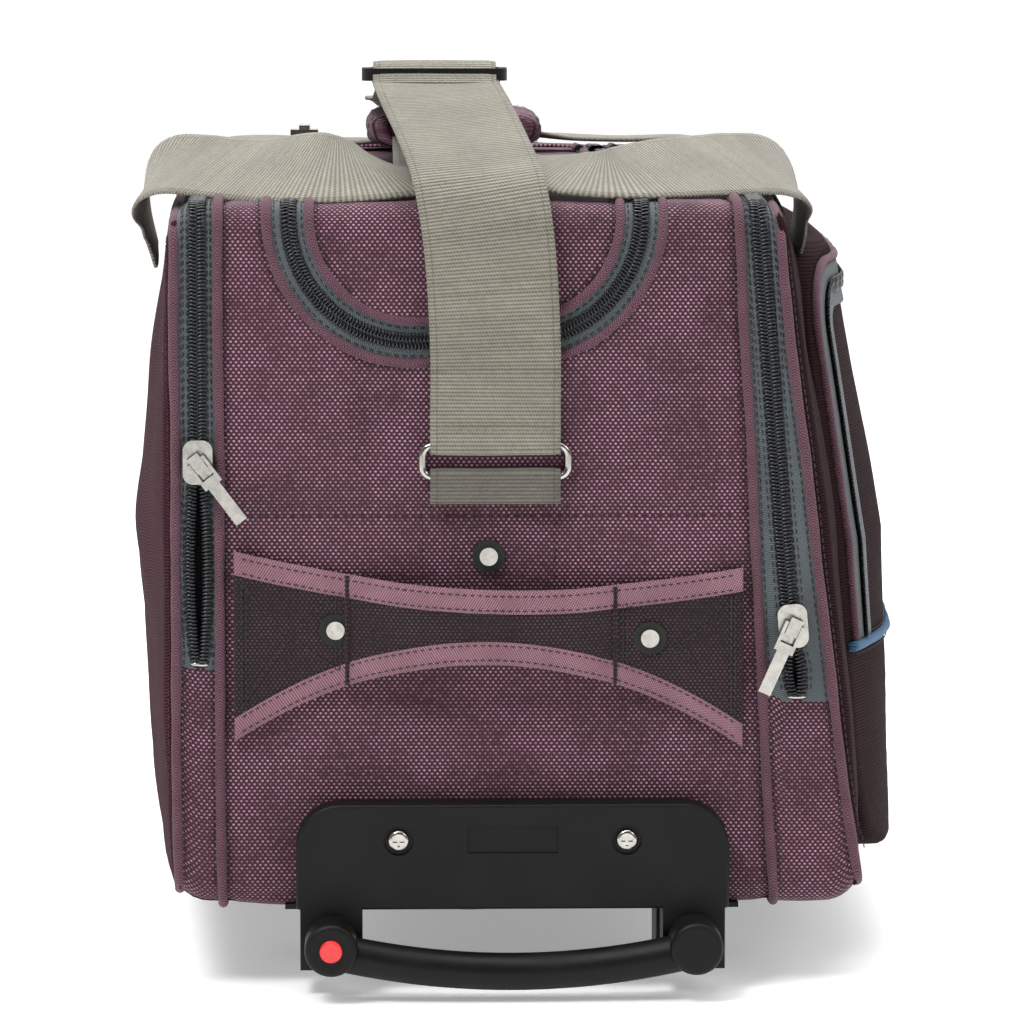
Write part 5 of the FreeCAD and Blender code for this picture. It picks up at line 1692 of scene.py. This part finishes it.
def make_grab_handle():
    """The flat grab handle on the near end, with its bindings and stitches."""
    x = np.linspace(-grab_half, grab_half, 130)
    share = np.linspace(0.02, 0.98, 26)
    xx, ss = np.meshgrid(x, share, indexing="ij")
    puff = 0.5 * MM * np.sin(ss * math.pi) + 0.25 * MM * smooth_noise(xx, ss * 0.05, 0.03, 71)
    ends = np.clip((grab_half - np.abs(xx)) / (6 * MM), 0, 1)
    points = grab_row(xx, ss, puff * ends)
    uv = np.stack([xx, points[..., 2]], axis=-1)
    mask = np.ones((len(x) - 1, len(share) - 1), bool)
    core = masked_cloth("grab_cloth", points, uv, mask, "heather_dark", "bag", 2.6 * MM)
    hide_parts("grab_handle")
    edge_binding("grab_binding_top", True)
    edge_binding("grab_binding_low", False)
    rows = []
    face = np.array([0.0, -1.0, 0.0])

    def line_between(xa, sa, xb, sb, count=40):
        t = np.linspace(0, 1, count)
        points = grab_row(xa + (xb - xa) * t, sa + (sb - sa) * t, 0.75 * MM)
        rows.append(stitch_mesh(points, np.tile(face, (count, 1)), length=2.0 * MM, gap=0.7 * MM))

    for left, right in ((-grab_half + 3 * MM, grab_seam_left - 3 * MM),
                        (grab_seam_right + 3 * MM, grab_half - 3 * MM)):
        for a in (left, left + 1.6 * MM, right, right - 1.6 * MM):
            line_between(a, 0.15, a, 0.86)
        line_between(left, 0.16, right, 0.84)
        line_between(left, 0.84, right, 0.16)
    joined("grab_stitches", rows, "thread_dark", "bag")
    for label, at in (("left", grab_seam_left), ("right", grab_seam_right)):
        t = np.linspace(0.0, 1.0, 24)
        path = grab_row(np.full(24, at), t, 0.7 * MM)
        tube("grab_ridge_" + label, path, 0.9 * MM, "heather_dark", "bag", 8, up_hint=(1, 0, 0))


def make_panel_stitches():
    """Stitch lines that hold the reinforcement behind the near end panel."""
    rows = []

    def across(z, x0, x1):
        x = np.linspace(x0, x1, 90)
        s = np.full(90, top_z - z)
        rows.append(skin_row(x, s, panel_lift(x, s) + 0.05 * MM, length=2.4 * MM))

    def down(x, z0, z1):
        s = np.linspace(top_z - z0, top_z - z1, 40)
        xs = np.full(40, x)
        rows.append(skin_row(xs, s, panel_lift(xs, s) + 0.05 * MM, length=2.4 * MM))

    left = float(seam_left_inner(0.186)) + 7 * MM
    right = float(seam_right_inner(0.186)) - 7 * MM
    for z in (184.6 * MM, 188.2 * MM):
        across(z, left, right)
    for x in (strap_x - web_width / 2 - 3 * MM, strap_x + web_width / 2 - 2 * MM):
        down(x, 183 * MM, 158 * MM)
    joined("panel_stitches", rows, "thread", "bag")


# ------------------------------------------------------------------ finishes for the CAD nodes
CAD_FINISH = {
    "black_plastic": ("handle_housing", "grip_bar", "tube_saddles", "wheel_housings",
                      "rod_end_plugs"),
    "base_tray_plastic": ("base_tray",),
    "base_cloth_cad": ("stiffener_boards",),
    "nickel": ("zip_slider_left", "zip_slider_right", "pull_tab_left", "pull_tab_right",
               "lid_zip_slider", "strap_rings", "grab_rivets", "housing_screws"),
    "tube_metal": ("outer_tubes", "mid_tubes", "inner_rods"),
    "steel": ("axles", "wheel_bearings_left", "wheel_bearings_right", "push_rod", "button_spring"),
    "red_button": ("release_button",),
    "tyre": ("tyre_left", "tyre_right"),
    "hub_plastic": ("hub_left", "hub_right"),
    "rubber": ("grab_washers",),
}
BEVELS = {"handle_housing": 0.6, "grip_bar": 0.5, "tube_saddles": 0.8, "wheel_housings": 1.2,
          "zip_slider_left": 0.7, "zip_slider_right": 0.7, "pull_tab_left": 0.45,
          "pull_tab_right": 0.45, "lid_zip_slider": 0.7, "grab_rivets": 0.5, "grab_washers": 0.6,
          "tyre_left": 1.5, "tyre_right": 1.5, "hub_left": 0.6, "hub_right": 0.6,
          "base_tray": 0.5, "outer_tubes": 0.2, "axles": 0.4}


def finish_cad_nodes():
    for material, names in CAD_FINISH.items():
        for name in names:
            node = bpy.data.objects[name]
            for slot in node.material_slots:
                slot.material = MATERIALS[material]
            if not node.material_slots:
                node.data.materials.append(MATERIALS[material])
            if name in BEVELS:
                bevel = node.modifiers.new("bevel", "BEVEL")
                bevel.width = BEVELS[name] * MM
                bevel.segments = 3
                bevel.limit_method = "ANGLE"
                bevel.angle_limit = math.radians(40)
                bevel.use_clamp_overlap = True


# ------------------------------------------------------------------ camera, light and floor
def make_camera():
    """The camera at the near end, a little above the bag's middle."""
    data = bpy.data.cameras.new("camera")
    camera = bpy.data.objects.new("camera", data)
    bpy.context.scene.collection.objects.link(camera)
    data.sensor_width = 36.0
    distance = 2.0
    azimuth = math.radians(-1.5)
    elevation = math.radians(6.6)
    aim = Vector((handle_x, near_y, 186 * MM))
    back = Vector((math.sin(azimuth) * math.cos(elevation),
                   -math.cos(azimuth) * math.cos(elevation), math.sin(elevation)))
    camera.location = aim + back * distance
    camera.rotation_mode = "QUATERNION"
    camera.rotation_quaternion = (-back).to_track_quat("-Z", "Y")
    seen_width = 0.394
    data.lens = data.sensor_width * distance / seen_width
    bpy.context.scene.camera = camera
    return camera


def area_light(name, place, target, size, power, colour=(1, 1, 1)):
    data = bpy.data.lights.new(name, "AREA")
    data.shape = "RECTANGLE"
    data.size, data.size_y = size
    data.energy = power
    data.color = colour
    light = bpy.data.objects.new(name, data)
    light.location = place
    light.rotation_mode = "QUATERNION"
    light.rotation_quaternion = (Vector(target) - Vector(place)).to_track_quat("-Z", "Y")
    bpy.context.scene.collection.objects.link(light)


def make_stage():
    """A pale floor that glows a little, a white world and three soft lights."""
    mesh = bpy.data.meshes.new("floor")
    mesh.from_pydata([(-9, -9, -0.0005), (9, -9, -0.0005), (9, 9, -0.0005), (-9, 9, -0.0005)],
                     [], [(0, 1, 2, 3)])
    floor = bpy.data.objects.new("floor", mesh)
    bpy.context.scene.collection.objects.link(floor)
    material = bpy.data.materials.new("floor")
    material.use_nodes = True
    shader = material.node_tree.nodes["Principled BSDF"]
    shader.inputs["Base Color"].default_value = (0.86, 0.86, 0.86, 1)
    shader.inputs["Roughness"].default_value = 0.7
    shader.inputs["Emission Color"].default_value = (1, 1, 1, 1)
    shader.inputs["Emission Strength"].default_value = 0.32
    mesh.materials.append(material)
    world = bpy.context.scene.world or bpy.data.worlds.new("world")
    bpy.context.scene.world = world
    world.use_nodes = True
    tree = world.node_tree
    sky = tree.nodes["Background"]
    place = tree.nodes.new("ShaderNodeTexCoord")
    split = tree.nodes.new("ShaderNodeSeparateXYZ")
    tree.links.new(place.outputs["Generated"], split.inputs[0])
    ramp = tree.nodes.new("ShaderNodeMapRange")
    ramp.interpolation_type = "SMOOTHSTEP"
    for key, value in (("From Min", -0.5), ("From Max", 0.35), ("To Min", 0.12), ("To Max", 1.2)):
        ramp.inputs[key].default_value = value
    tree.links.new(split.outputs["Y"], ramp.inputs["Value"])
    tree.links.new(ramp.outputs["Result"], sky.inputs["Strength"])
    sky.inputs["Color"].default_value = (1, 1, 1, 1)
    target = (0, near_y, 0.16)
    area_light("key", (-0.9, -1.3, 2.1), target, (0.8, 0.8), 42)
    area_light("fill", (1.5, -1.3, 1.5), target, (0.9, 0.9), 9)
    area_light("top", (0.1, 0.1, 2.2), (0, 0, 0.2), (2.0, 2.0), 44)


make_main_cloth()
make_lid_cloth()
make_side_zip("left", seam_left_outer, seam_left_inner, zip_left)
make_side_zip("right", seam_right_outer, seam_right_inner, zip_right)
make_pipings()
make_lid_zip()
make_side_panel("left")
make_side_panel("right")
make_base_cloth()
make_pocket()
make_straps()
make_buckle()
make_carry_handles()
make_grab_handle()
make_panel_stitches()
finish_cad_nodes()

make_camera()
make_stage()
bpy.context.scene.view_settings.view_transform = "Standard"
